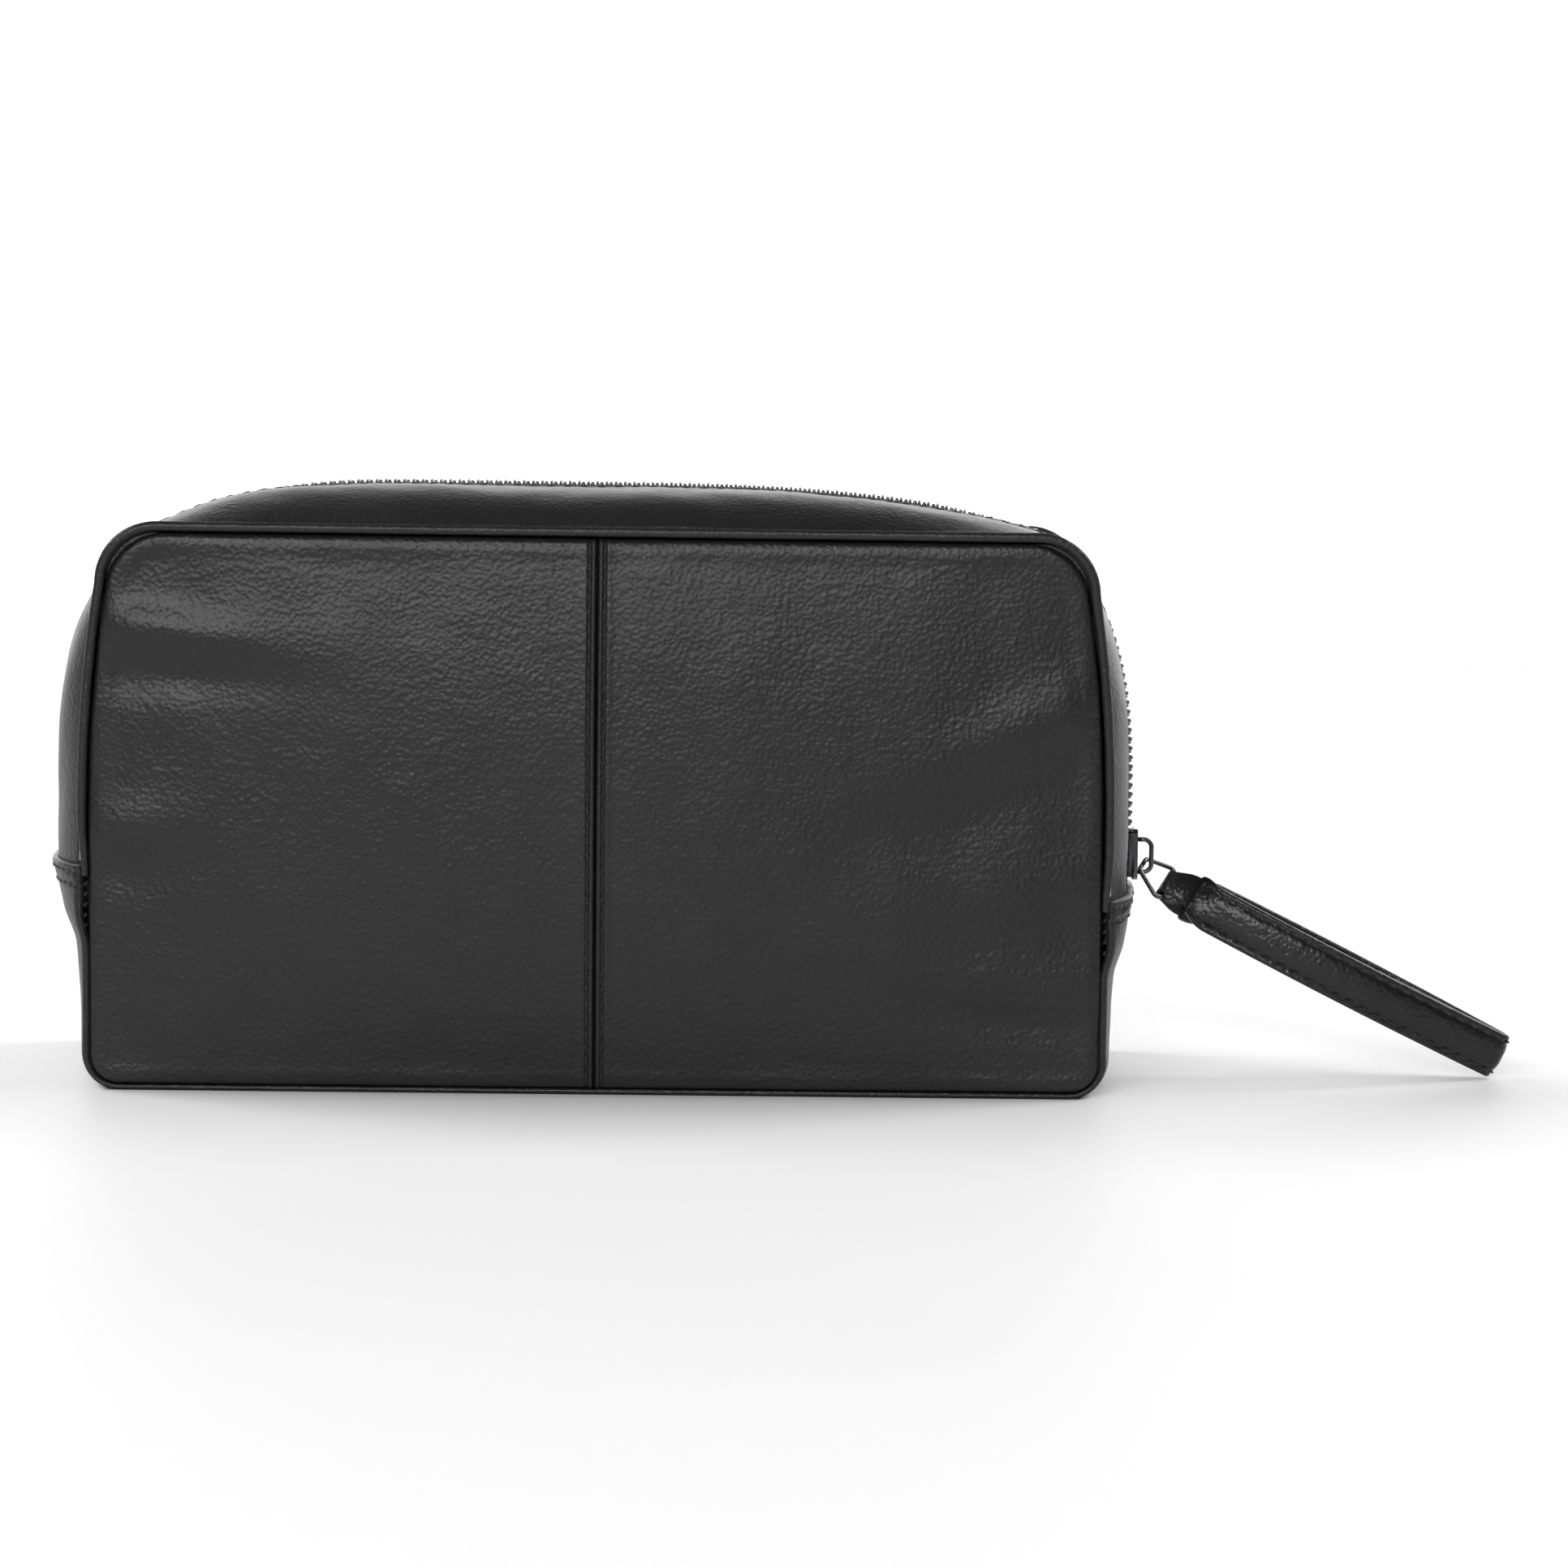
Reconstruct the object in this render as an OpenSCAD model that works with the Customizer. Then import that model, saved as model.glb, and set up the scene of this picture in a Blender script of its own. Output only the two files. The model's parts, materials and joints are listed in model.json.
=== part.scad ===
// Leather makeup bag with a curved zip, a zip slider with a pull ring, and a wrist strap.
// Millimetres, +Z up, +X towards the wrist strap, -Y towards the front.
// The origin is on the table under the middle of the bag.

/* [Bag] */
// Width of the bag's edge seam at its widest
bag_w = 257; // [210:1:320]
// Height of the edge seam above the table
bag_h = 141.5; // [115:0.5:180]
// Depth between the front and back edge seams
bag_depth = 84; // [64:1:110]
// Radius of the top corners
corner_top_r = 14; // [8:1:20]
// Radius of the bottom corners
corner_bottom_r = 9; // [6:1:12]
// How much each side leans in towards the top corners
top_taper = 6.9; // [0:0.1:10]
// How much lower the right end of the top is than its middle
lean = 0.4; // [0:0.1:3]
// How much lower the back of the top is than its front
back_drop = 4; // [0:0.1:6]

/* [Soft bulge] */
// How far the left side swells past the edge seam
left_bulge = 8.8; // [6:0.1:13]
// How far the right side swells past the edge seam
right_bulge = 5.9; // [5:0.1:10]
// How far the top swells above the edge seam
crown_rise = 11; // [4:0.1:14]
// Swell left where the top corners begin and end
corner_bulge = 1.2; // [0.6:0.1:4]
// How far the swell dips in the middle of each top corner
corner_dip = 2.6; // [0:0.1:3]
// Swell left at the bottom corners
base_bulge = 2; // [0:0.1:3]
// How level the top stays towards its left corner
crown_left_power = 6; // [3:0.5:8]
// How level the top stays towards its right corner
crown_right_power = 3; // [2:0.5:8]
// How far each panel swells outwards
panel_crown = 3; // [1:0.1:6]

/* [Leather and lining] */
// Thickness of the bag's leather
leather_t = 1.4; // [1:0.1:2]
// Thickness of the lining cloth
lining_t = 0.6; // [0.4:0.1:1]
// Thickness of the foam behind each panel
foam_t = 1.3; // [1:0.1:2]
// Thickness of the tape behind each centre seam
seam_tape_t = 0.5; // [0.3:0.1:0.8]
// Width of the tape behind each centre seam
seam_tape_w = 14; // [8:1:20]
// Gap between two layers
layer_gap = 0.1; // [0.05:0.01:0.2]
// Gap between the two halves of a panel at the centre seam
seam_gap = 0.3; // [0.1:0.1:0.6]
// Thickness of the board in the base
board_t = 1.5; // [1:0.1:2.5]
// Distance of the base board's edge from the edge seam
board_inset = 8; // [6:1:14]
// Outside radius of the piping
piping_r = 1.25; // [0.9:0.05:1.6]
// Radius of the cord in the piping
piping_cord_r = 0.6; // [0.4:0.05:0.8]

/* [Pocket] */
// Width of the slip pocket inside the back
pocket_w = 140; // [90:1:180]
// Height of the slip pocket
pocket_h = 74; // [50:1:95]
// Height of the pocket's lower edge above the table
pocket_z = 22; // [16:1:30]
// How far the pocket's mouth stands off the lining
pocket_slack = 2.5; // [1:0.1:6]

/* [Zip] */
// Half the opening between the two leather lips
lip_y = 5.5; // [5:0.1:7]
// Distance of the tape's sewn edge from the middle of the zip
tape_y = 14; // [11:0.5:18]
// Thickness of the zip tape
tape_t = 0.6; // [0.4:0.1:0.8]
// Distance between two teeth on one side
tooth_pitch = 2.35; // [2:0.05:3]
// Thickness of a tooth along the zip
tooth_len = 1; // [0.8:0.05:1.2]
// Reach of a tooth across its own side
tooth_reach = 3; // [2.5:0.1:3.4]
// Reach of a tooth past the middle where the sides mesh
tooth_mesh = 0.45; // [0.2:0.05:0.7]
// Height of a tooth through the tape
tooth_h = 3; // [2.4:0.1:3.2]
// Depth of the tape's middle below the leather's face over the top
zip_sink = 1; // [0.6:0.1:1.4]
// Height of the tape's middle above the leather's face along the slider's run
zip_lift = 0.5; // [0:0.1:0.6]
// Top of the left tab
tab_left_z = 56.9; // [45:0.1:70]
// Top of the right tab
tab_right_z = 50.7; // [42:0.1:60]
// Overlap of each tab over the zip gusset
tab_overlap = 11; // [8:0.5:14]

/* [Slider] */
// Length of the slider
slider_len = 13; // [11:0.5:15]
// Width of the slider's nose
slider_nose_w = 9.2; // [8.6:0.1:10]
// Width of the slider's mouth
slider_mouth_w = 8; // [7.8:0.1:8.4]
// Thickness of each slider plate
wing_t = 1.3; // [1:0.1:1.5]
// Clearance between the teeth and the slider's plates
slider_clear = 0.15; // [0.1:0.01:0.3]
// Width of the slot that the tape runs through
tape_slot = 1.2; // [1:0.1:1.4]
// Thickness of the slider's flanges
flange_t = 0.7; // [0.5:0.1:0.8]
// Thickness of the divider between the two rows of teeth
divider_t = 0.5; // [0.3:0.1:0.6]
// Clearance on each side of the divider
divider_clear = 0.3; // [0.2:0.05:0.4]
// Travel of the slider up the straight side
slider_travel = 12; // [10:1:32]

/* [Bail and ring] */
// Length of the bail along the slider
bail_len = 9.6; // [9:0.1:10]
// Width of the bail
bail_w = 1.8; // [1.4:0.1:2.2]
// Thickness of the bail's bar
bail_t = 1.2; // [1:0.1:1.5]
// Height of the hole in the bail
bail_hole_h = 3.1; // [3:0.1:3.6]
// Radius of the ring's wire
ring_r = 0.6; // [0.5:0.05:0.7]
// Length of the ring from the bail to the strap
ring_len = 8.5; // [7:0.5:11]
// Half the length of the ring's short side
ring_apex = 2.5; // [2.4:0.1:3.2]
// Half the length of the ring's long side
ring_bar = 7.2; // [6.8:0.1:9]
// Bend radius of the ring's corners
ring_bend = 1.4; // [1.2:0.1:1.8]
// How steeply the ring hangs below level
ring_drop = 40; // [30:1:50]
// How far the ring is turned about its own length
ring_roll = 36; // [28:1:38]

/* [Wrist strap] */
// Length of the strap from the ring to its far fold
strap_len = 94; // [80:1:120]
// Width of the strap
strap_w = 12; // [10:0.5:14]
// Width of the tongue that folds round the ring
tongue_w = 9.4; // [8:0.1:9.6]
// Thickness of the strap's outer leather
strap_outer_t = 1; // [0.8:0.1:1.2]
// Thickness of the strap's inner leather
strap_inner_t = 0.8; // [0.6:0.1:1]
// Thickness of the tongue that folds round the ring
tongue_t = 0.8; // [0.6:0.1:1]
// Thickness of the strap's filler
filler_t = 1; // [0.8:0.1:1.4]
// Half the loop's opening at its widest
loop_half = 8.2; // [6:0.1:12]
// Clearance between the tongue and the ring
ring_clear = 0.3; // [0.2:0.05:0.5]
// Distance from the ring to the end of the strap's leather
strap_start = 6; // [5:0.5:8]
// Distance from the ring to the end of the tongue
tongue_end = 15; // [12:1:20]
// Length over which the strap turns upright from the ring's bar
twist_len = 13; // [10:1:40]

/* [Hidden] */
$fn = 40;

half_w = bag_w / 2;
half_depth = bag_depth / 2;
// The panel lies just inside the gusset's edge
panel_off = -(leather_t + layer_gap);
lining_off = -(leather_t + tape_t + 3 * layer_gap);
lower_lining_off = -(leather_t + board_t + 4 * layer_gap);
middle_z = bag_h / 2;
arc_top_z = bag_h - corner_top_r;
arc_top_x = side_x(arc_top_z) - corner_top_r;
arc_bottom_x = half_w - corner_bottom_r;
crown_power = 4;
seam_tape_depth = leather_t + layer_gap;
foam_depth = seam_tape_depth + seam_tape_t + layer_gap;
panel_lining_depth = foam_depth + foam_t + layer_gap;
lining_edge_y = half_depth - panel_lining_depth - lining_t - 2 * layer_gap;
inner_off = lower_lining_off - lining_t - layer_gap;
side_steps = 13;
arc_steps = 6;
top_steps = 16;

// The straight run of the slider along the right side
slider_z = tab_right_z + 0.3;
run_low = slider_z - 0.5;
run_high = slider_z + slider_len + slider_travel + 1.2;
left_low = middle_z - 14;
left_high = middle_z + 10;
side_low_power = 2;
side_high_power = 2.5;
tab_ease = 9;
tab_gap = 2 * layer_gap;

// The piping stands on the edge seam, and the gusset's layers share these depths from there to the lip
piping_y = half_depth - 0.3;
piping_off = 0.2;
gusset_edge_y = piping_y - piping_r - layer_gap;
gusset_depths = concat([for (t = [0, 0.2, 0.45, 0.75, 1]) mix(gusset_edge_y, tape_y, t)], [lip_y]);
upper = over_top(tab_right_z - tab_overlap, tab_left_z - tab_overlap);
piping_stations = over_top(tab_right_z + 1, tab_left_z + 1);

// The slider's layers, measured outwards from the middle of the tape
tape_x = half_w + right_bulge + zip_lift;
wing_x = tooth_h / 2 + slider_clear;
slider_face_x = tape_x + wing_x + wing_t;
flange_h = wing_x - tape_slot / 2;
nose_half = slider_nose_w / 2;
mouth_half = slider_mouth_w / 2;
nose_cut = 0.9;
mouth_cut = 1.2;
window_w = 1.2;
window_h = 1.3;
window_z = slider_len - 2.1;
lock_inset = 0.15;
teeth_start = slider_len / 2;
divider_gap = divider_t / 2 + divider_clear;
top_stop_len = 2;
bottom_stop_len = 1.8;
bail_z = slider_z + 1.1;
hole_z = bail_z + bail_t;
hole_len = bail_len - 2 * bail_t;

// The ring's own axes: it points along ring_dir and its bar lies along bar_dir
ring_dir = [cos(ring_drop), 0, -sin(ring_drop)];
bar_dir = [sin(ring_drop) * sin(ring_roll), cos(ring_roll), cos(ring_drop) * sin(ring_roll)];
ring_seat = ring_r / cos(ring_roll) + bail_w / 2 * tan(ring_roll) * cos(ring_drop) + 0.15;
ring_pos = [slider_face_x + bail_hole_h / 2, 0, hole_z + ring_seat];
bar_pos = ring_pos + ring_len * ring_dir;

// The strap lies straight down from the ring to the table
fold_r = ring_r + ring_clear + tongue_t / 2;
core_half = filler_t / 2 + layer_gap;
end_r = core_half + strap_inner_t + 0.2;
strap_reach = strap_len + end_r + core_half + strap_outer_t;
strap_span = sqrt(pow(strap_reach, 2) + pow(strap_w / 2, 2));
strap_drop = asin(bar_pos[2] / strap_span) - atan2(strap_w / 2, strap_reach);
strap_dir = [cos(strap_drop), 0, -sin(strap_drop)];
strap_up = [sin(strap_drop), 0, cos(strap_drop)];
strap_twist = atan2(bar_dir[1], bar_dir * strap_up);
bar_shear = bar_dir * strap_dir;
fold_steps = 6;
// The strap's layers share these distances from the ring and across the strap
leg_stations = concat([for (i = [0:6]) mix(strap_start, tongue_end, i / 6)],
    [for (i = [0:12]) mix(tongue_end + 1, strap_len, i / 12)]);
core_across = [-2.5, 0, 2.5];
filler_inset = 1;
filler_across = strap_w / 2 - filler_inset;
strap_columns = concat([-strap_w / 2, -filler_across], core_across, [filler_across, strap_w / 2]);

leather = [0.07, 0.07, 0.075];
edge_leather = [0.1, 0.1, 0.105];
lining_cloth = [0.16, 0.16, 0.18];
tape_cloth = [0.05, 0.05, 0.05];
foam = [0.55, 0.55, 0.5];
board = [0.4, 0.33, 0.25];
gunmetal = [0.32, 0.32, 0.34];

function mix(a, b, t) = a + (b - a) * t;
function clamp01(t) = max(0, min(1, t));
function ease(t) = pow(clamp01(t), 2) * (3 - 2 * clamp01(t));

// Half width of the edge seam at a height
function side_x(z) = half_w - top_taper * pow(max(0, (z - middle_z) / (bag_h - middle_z)), 2);

// A station is [place, value]: a side at a height, a corner at an angle, or a level edge at x
function seam_point(s) =
    s[0] == "right" ? [side_x(s[1]), s[1]] :
    s[0] == "left" ? [-side_x(s[1]), s[1]] :
    s[0] == "top" ? [s[1], bag_h] :
    s[0] == "bottom" ? [s[1], 0] :
    let (low = s[0] == "low corner", r = low ? corner_bottom_r : corner_top_r,
         x = low ? arc_bottom_x : arc_top_x, z = low ? corner_bottom_r : arc_top_z)
        [(cos(s[1]) < 0 ? -x : x) + r * cos(s[1]), z + r * sin(s[1])];

function seam_normal(s) =
    s[0] == "right" ? [1, 0] :
    s[0] == "left" ? [-1, 0] :
    s[0] == "top" ? [0, 1] :
    s[0] == "bottom" ? [0, -1] :
    [cos(s[1]), sin(s[1])];

// Swell of one side: level over its straight run, fading towards both corners
function side_swell(z, bulge, low, high) =
    let (full = bulge + half_w - side_x(z), below = clamp01((z - corner_bottom_r) / (low - corner_bottom_r)),
         above = clamp01((z - high) / (arc_top_z - high)))
        z < low ? mix(base_bulge, full, pow(below, side_low_power)) :
        mix(full, corner_bulge, pow(above, side_high_power));

function swell(s) =
    s[0] == "right" ? side_swell(s[1], right_bulge, run_low, run_high) :
    s[0] == "left" ? side_swell(s[1], left_bulge, left_low, left_high) :
    s[0] == "top" ? mix(crown_rise, corner_bulge,
        pow(abs(s[1]) / arc_top_x, s[1] < 0 ? crown_left_power : crown_right_power)) :
    s[0] == "bottom" ? 0 :
    s[0] == "low corner" ? base_bulge * pow(cos(s[1]), 2) :
    corner_bulge - corner_dip * abs(sin(2 * s[1]));

// The top leans down to the right and to the back
function leaned(p) = [p[0], p[1], p[2] * (1 - lean / bag_h * p[0] / half_w
    - back_drop / bag_h * (p[1] + half_depth) / bag_depth)];

// A point of the gusset at a station and depth, at a distance outside its outer face
function shell(s, y, off) =
    let (p = seam_point(s) + seam_normal(s) * (swell(s) * (1 - pow(abs(y) / half_depth, crown_power)) + off))
        leaned([p[0], y, p[1]]);

// Stations from a height on the right, over the top, to a height on the left
function over_top(z_right, z_left, fine = 1) = concat(
    [for (i = [0:side_steps]) ["right", mix(z_right, arc_top_z, i / side_steps)]],
    [for (i = [1:arc_steps * fine - 1]) ["high corner", 90 * i / arc_steps / fine]],
    [for (i = [0:top_steps * fine]) ["top", mix(arc_top_x, -arc_top_x, i / top_steps / fine)]],
    [for (i = [1:arc_steps * fine - 1]) ["high corner", 90 + 90 * i / arc_steps / fine]],
    [for (i = [0:side_steps]) ["left", mix(arc_top_z, z_left, i / side_steps)]]);

// Stations from a height on the left, under the base, to a height on the right
function under_base(z_left, z_right, steps) = concat(
    [for (i = [0:steps]) ["left", mix(z_left, corner_bottom_r, i / steps)]],
    [for (i = [1:arc_steps - 1]) ["low corner", 180 + 90 * i / arc_steps]],
    [for (i = [0:1]) ["bottom", mix(-arc_bottom_x, arc_bottom_x, i)]],
    [for (i = [1:arc_steps - 1]) ["low corner", 270 + 90 * i / arc_steps]],
    [for (i = [0:steps]) ["right", mix(corner_bottom_r, z_right, i / steps)]]);

// Closed surface of triangles, turned so that its faces look outwards
module closed(points, quads) {
    triangles = [for (q = quads) each len(q) == 4 ? [[q[0], q[1], q[2]], [q[0], q[2], q[3]]] : [q]];
    cones = [for (t = triangles) points[t[0]] * cross(points[t[1]], points[t[2]])];
    inward = cones * [for (t = triangles) 1] > 0;
    polyhedron(points, inward ? [for (t = triangles) [t[2], t[1], t[0]]] : triangles);
}

// Solid sheet between two grids of points
module sheet(outer, inner) {
    rows = len(outer);
    cols = len(outer[0]);
    n = rows * cols;
    closed(concat([for (row = outer) each row], [for (row = inner) each row]), concat(
        [for (j = [0:rows - 2], k = [0:cols - 2]) let (a = j * cols + k) [a, a + 1, a + cols + 1, a + cols]],
        [for (j = [0:rows - 2], k = [0:cols - 2]) let (a = n + j * cols + k)
            [a, a + cols, a + cols + 1, a + 1]],
        [for (k = [0:cols - 2]) [k + 1, k, k + n, k + 1 + n]],
        [for (k = [0:cols - 2]) let (a = (rows - 1) * cols + k) [a, a + 1, a + 1 + n, a + n]],
        [for (j = [0:rows - 2]) let (a = j * cols) [a, a + cols, a + cols + n, a + n]],
        [for (j = [0:rows - 2]) let (a = (j + 1) * cols - 1) [a + cols, a, a + n, a + cols + n]]));
}

// Solid rod through a list of equal rings
module rod(rings) {
    n = len(rings[0]);
    last = (len(rings) - 1) * n;
    closed([for (ring = rings) each ring], concat(
        [for (j = [0:len(rings) - 2], k = [0:n - 1]) let (a = j * n + k, b = j * n + (k + 1) % n)
            [a, b, b + n, a + n]],
        [for (k = [1:n - 2]) [0, k + 1, k]],
        [for (k = [1:n - 2]) [last, last + k, last + k + 1]]));
}

// Solid wire through a closed list of equal rings
module loop(rings) {
    n = len(rings[0]);
    count = len(rings) * n;
    closed([for (ring = rings) each ring],
        [for (j = [0:len(rings) - 1], k = [0:n - 1]) let (a = j * n, b = (k + 1) % n)
            [a + k, a + b, (a + b + n) % count, (a + k + n) % count]]);
}

// A strip of the gusset between two depths, from one distance off its face to another
module gusset_strip(stations, depths, outer_off, inner_off) {
    sheet([for (s = stations) [for (y = depths) shell(s, y, outer_off)]],
        [for (s = stations) [for (y = depths) shell(s, y, inner_off)]]);
}

// Rows of one panel, from its lower edge to its upper edge: [half width, height]
function panel_rows(off) = [for (s = concat(
    [for (i = [0:arc_steps]) ["low corner", 270 + 90 * i / arc_steps]],
    [for (i = [1:7]) ["right", mix(corner_bottom_r, arc_top_z, i / 8)]],
    [for (i = [0:arc_steps]) ["high corner", 90 * i / arc_steps]])) seam_point(s) + seam_normal(s) * off];

function panel_y(x, z) = half_depth + panel_crown
    * (1 - pow(min(1, abs(x) / side_x(z)), 3)) * (1 - pow(min(1, abs(z - middle_z) / middle_z), 3));

// A layer of a panel: side is -1 for the front, from and to are x as shares of each row
module panel_layer(side, rows, from_x, to_x, cols, depth, thickness) {
    grid = [for (row = rows) [for (k = [0:cols]) [mix(from_x(row), to_x(row), k / cols), row[1]]]];
    sheet([for (row = grid) [for (p = row) leaned([p[0], side * (panel_y(p[0], p[1]) - depth), p[1]])]],
        [for (row = grid) [for (p = row) leaned([p[0], side * (panel_y(p[0], p[1]) - depth - thickness), p[1]])]]);
}

module half_panel(side, hand) {
    color(leather)
        panel_layer(side, panel_rows(panel_off), function(row) hand * seam_gap / 2,
            function(row) hand * row[0], 5, 0, leather_t);
}

module seam_tape(side) {
    color(edge_leather)
        panel_layer(side, panel_rows(2 * panel_off), function(row) -seam_tape_w / 2,
            function(row) seam_tape_w / 2, 2, seam_tape_depth, seam_tape_t);
}

module padding(side) {
    color(foam)
        panel_layer(side, panel_rows(inner_off), function(row) -row[0], function(row) row[0],
            8, foam_depth, foam_t);
}

module panel_lining(side) {
    color(lining_cloth)
        panel_layer(side, panel_rows(inner_off), function(row) -row[0], function(row) row[0],
            8, panel_lining_depth, lining_t);
}

function slack(p) = pocket_slack * ease((p[1] - pocket_z) / pocket_h) * cos(180 * p[0] / pocket_w);

// Slip pocket on the back lining; its mouth stands open a little
module slip_pocket() {
    depth = panel_lining_depth + lining_t + layer_gap;
    grid = [for (j = [0:6]) [for (k = [0:8]) [pocket_w * (k / 8 - 0.5), pocket_z + pocket_h * j / 6]]];
    color(lining_cloth)
        sheet([for (row = grid) [for (p = row) leaned([p[0], panel_y(p[0], p[1]) - depth - slack(p), p[1]])]],
            [for (row = grid) [for (p = row)
                leaned([p[0], panel_y(p[0], p[1]) - depth - slack(p) - lining_t, p[1]])]]);
}

module zip_gusset(side) {
    color(leather) gusset_strip(upper, side * gusset_depths, 0, -leather_t);
}

// Height of the tab over what lies under it, fading below the overlap
function tab_lift(s, y) =
    s[0] != "left" && s[0] != "right" ? 0 :
    let (right = s[0] == "right", top = right ? tab_right_z : tab_left_z,
         ridge = right ? zip_lift + tape_t / 2 + tab_gap : tab_gap,
         crest = mix(ridge, tab_gap, ease((abs(y) - lip_y) / tab_ease)) + leather_t)
        crest * (1 - ease((top - tab_overlap - 1 - s[1]) / tab_ease));

module lower_gusset() {
    stations = under_base(tab_left_z, tab_right_z, 16);
    edge = half_depth - 2 * layer_gap;
    half = concat([edge], gusset_depths);
    depths = concat(-half, [for (i = [len(half) - 1:-1:0]) half[i]]);
    color(leather) {
        sheet([for (s = stations) [for (y = depths) shell(s, y, tab_lift(s, y))]],
            [for (s = stations) [for (y = depths) shell(s, y, tab_lift(s, y) - leather_t)]]);
        translate([-arc_bottom_x, -edge, 0])
            cube([2 * arc_bottom_x, 2 * edge, leather_t]);
    }
}

// Centre of the piping at a station
function piping_ring(s, side, radius, angles) =
    [for (a = angles) let (p = seam_point(s) + seam_normal(s) * (piping_off + radius * cos(a)))
        leaned([p[0], side * (piping_y + radius * sin(a)), p[1]])];

// Leather rolled round the cord; its open edge faces the seam
module piping(side) {
    angles = [for (i = [0:7]) -110 + 290 * i / 7];
    color(leather)
        sheet([for (s = piping_stations) piping_ring(s, side, piping_r, angles)],
            [for (s = piping_stations) piping_ring(s, side, piping_cord_r + layer_gap / 2, angles)]);
}

module piping_cord(side) {
    angles = [for (i = [0:5]) 60 * i];
    color(foam) rod([for (s = piping_stations) piping_ring(s, side, piping_cord_r - layer_gap / 2, angles)]);
}

// Distance of the zip's middle outside the leather's face: it lifts along the slider's run
function zip_off(s) =
    s[0] == "right" ? mix(zip_lift, -zip_sink, ease((s[1] - run_high) / (arc_top_z - run_high))) : -zip_sink;

module zip_tape(side) {
    under = -leather_t - layer_gap - tape_t / 2;
    profile = [[tape_y, 1], [lip_y, 1], [mouth_half + 0.3, 0], [0.9, 0]];
    color(tape_cloth)
        sheet([for (s = upper) [for (p = profile) shell(s, side * p[0], mix(zip_off(s), under, p[1]) + tape_t / 2)]],
            [for (s = upper) [for (p = profile)
                shell(s, side * p[0], mix(zip_off(s), under, p[1]) - tape_t / 2)]]);
}

// The zip's middle line with the distance run along it
zip_line = [for (s = over_top(slider_z, tab_left_z + 2, 3)) shell(s, 0, zip_off(s))];
function running(points, i = 0, sum = 0) =
    i == len(points) ? [] :
    let (here = i == 0 ? 0 : sum + norm(points[i] - points[i - 1])) concat([here], running(points, i + 1, here));
zip_runs = running(zip_line);
zip_x = [for (i = [0:len(zip_line) - 1]) [zip_runs[i], zip_line[i][0]]];
zip_z = [for (i = [0:len(zip_line) - 1]) [zip_runs[i], zip_line[i][2]]];
function zip_at(run) = [lookup(run, zip_x), 0, lookup(run, zip_z)];
teeth_count = floor((zip_runs[len(zip_runs) - 1] - teeth_start - tooth_pitch) / tooth_pitch);

// Places a shape on the zip's middle line, its X outwards and its Z back along the zip
module on_zip(run) {
    ahead = zip_at(run + tooth_pitch) - zip_at(run - tooth_pitch);
    translate(zip_at(run)) rotate([0, atan2(ahead[0], ahead[2]), 0]) children();
}

// The rows mesh over the top and stand a divider's width apart along the slider's run
module zip_teeth(side) {
    color(gunmetal)
        for (i = [0:teeth_count - 1]) {
            run = teeth_start + tooth_pitch * (i + (side > 0 ? 0.5 : 0));
            tip = zip_at(run)[2] < run_high ? divider_gap : -tooth_mesh;
            on_zip(run) translate([-tooth_h / 2, side > 0 ? tip : -tooth_reach, -tooth_len / 2])
                cube([tooth_h, tooth_reach - tip, tooth_len]);
        }
}

// Wire clamped on each side's tape where the teeth end, inside the slider
module zip_top_stops() {
    color(gunmetal)
        for (side = [-1, 1])
            on_zip(teeth_start - tooth_pitch - 0.6)
                translate([-tooth_h / 2, side > 0 ? divider_gap : -tooth_reach, -top_stop_len / 2])
                    cube([tooth_h, tooth_reach - divider_gap, top_stop_len]);
}

// Clamp across both rows at the zip's left end
module zip_bottom_stop() {
    color(gunmetal)
        on_zip(teeth_start + tooth_pitch * (teeth_count + 0.4))
            translate([-tooth_h / 2, -tooth_reach, -bottom_stop_len / 2])
                cube([tooth_h, 2 * tooth_reach, bottom_stop_len]);
}

module zip_lining(side) {
    stations = over_top(tab_right_z - 2, tab_left_z - 2);
    depths = [for (t = [0, 0.2, 0.6, 1]) side * mix(lining_edge_y, tape_y - 5, t)];
    color(lining_cloth) gusset_strip(stations, depths, lining_off, lining_off - lining_t);
}

module lower_lining() {
    stations = under_base(tab_left_z - 3, tab_right_z - 3, 6);
    depths = [for (t = [-1, -0.7, -0.35, 0, 0.35, 0.7, 1]) lining_edge_y * t];
    color(lining_cloth) gusset_strip(stations, depths, lower_lining_off, lower_lining_off - lining_t);
}

module base_board() {
    size = [2 * (half_w - board_inset), 2 * (half_depth - board_inset)];
    r = 5;
    color(board)
        translate([0, 0, leather_t + layer_gap])
            linear_extrude(board_t) {
                square([size[0] - 2 * r, size[1]], center = true);
                square([size[0], size[1] - 2 * r], center = true);
                for (sx = [-1, 1], sy = [-1, 1])
                    translate([sx * (size[0] / 2 - r), sy * (size[1] / 2 - r)]) circle(r);
            }
}

// Outline of a slider plate: nose at the bottom, mouth at the top
module wing_shape() {
    half = [[0.55 * nose_half, 0], [nose_half - nose_cut / 3, nose_cut], [nose_half, 2.5 * nose_cut],
        [mouth_half, slider_len * 0.62], [mouth_half, slider_len - mouth_cut], [mouth_half - mouth_cut, slider_len]];
    polygon(concat(half, [for (i = [len(half) - 1:-1:0]) [-half[i][0], half[i][1]]]));
}

// Turns a shape drawn in Y and Z so that it is extruded along X
module along_x(x, height) {
    translate([x, 0, slider_z]) rotate([90, 0, 90]) linear_extrude(height) children();
}

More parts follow.
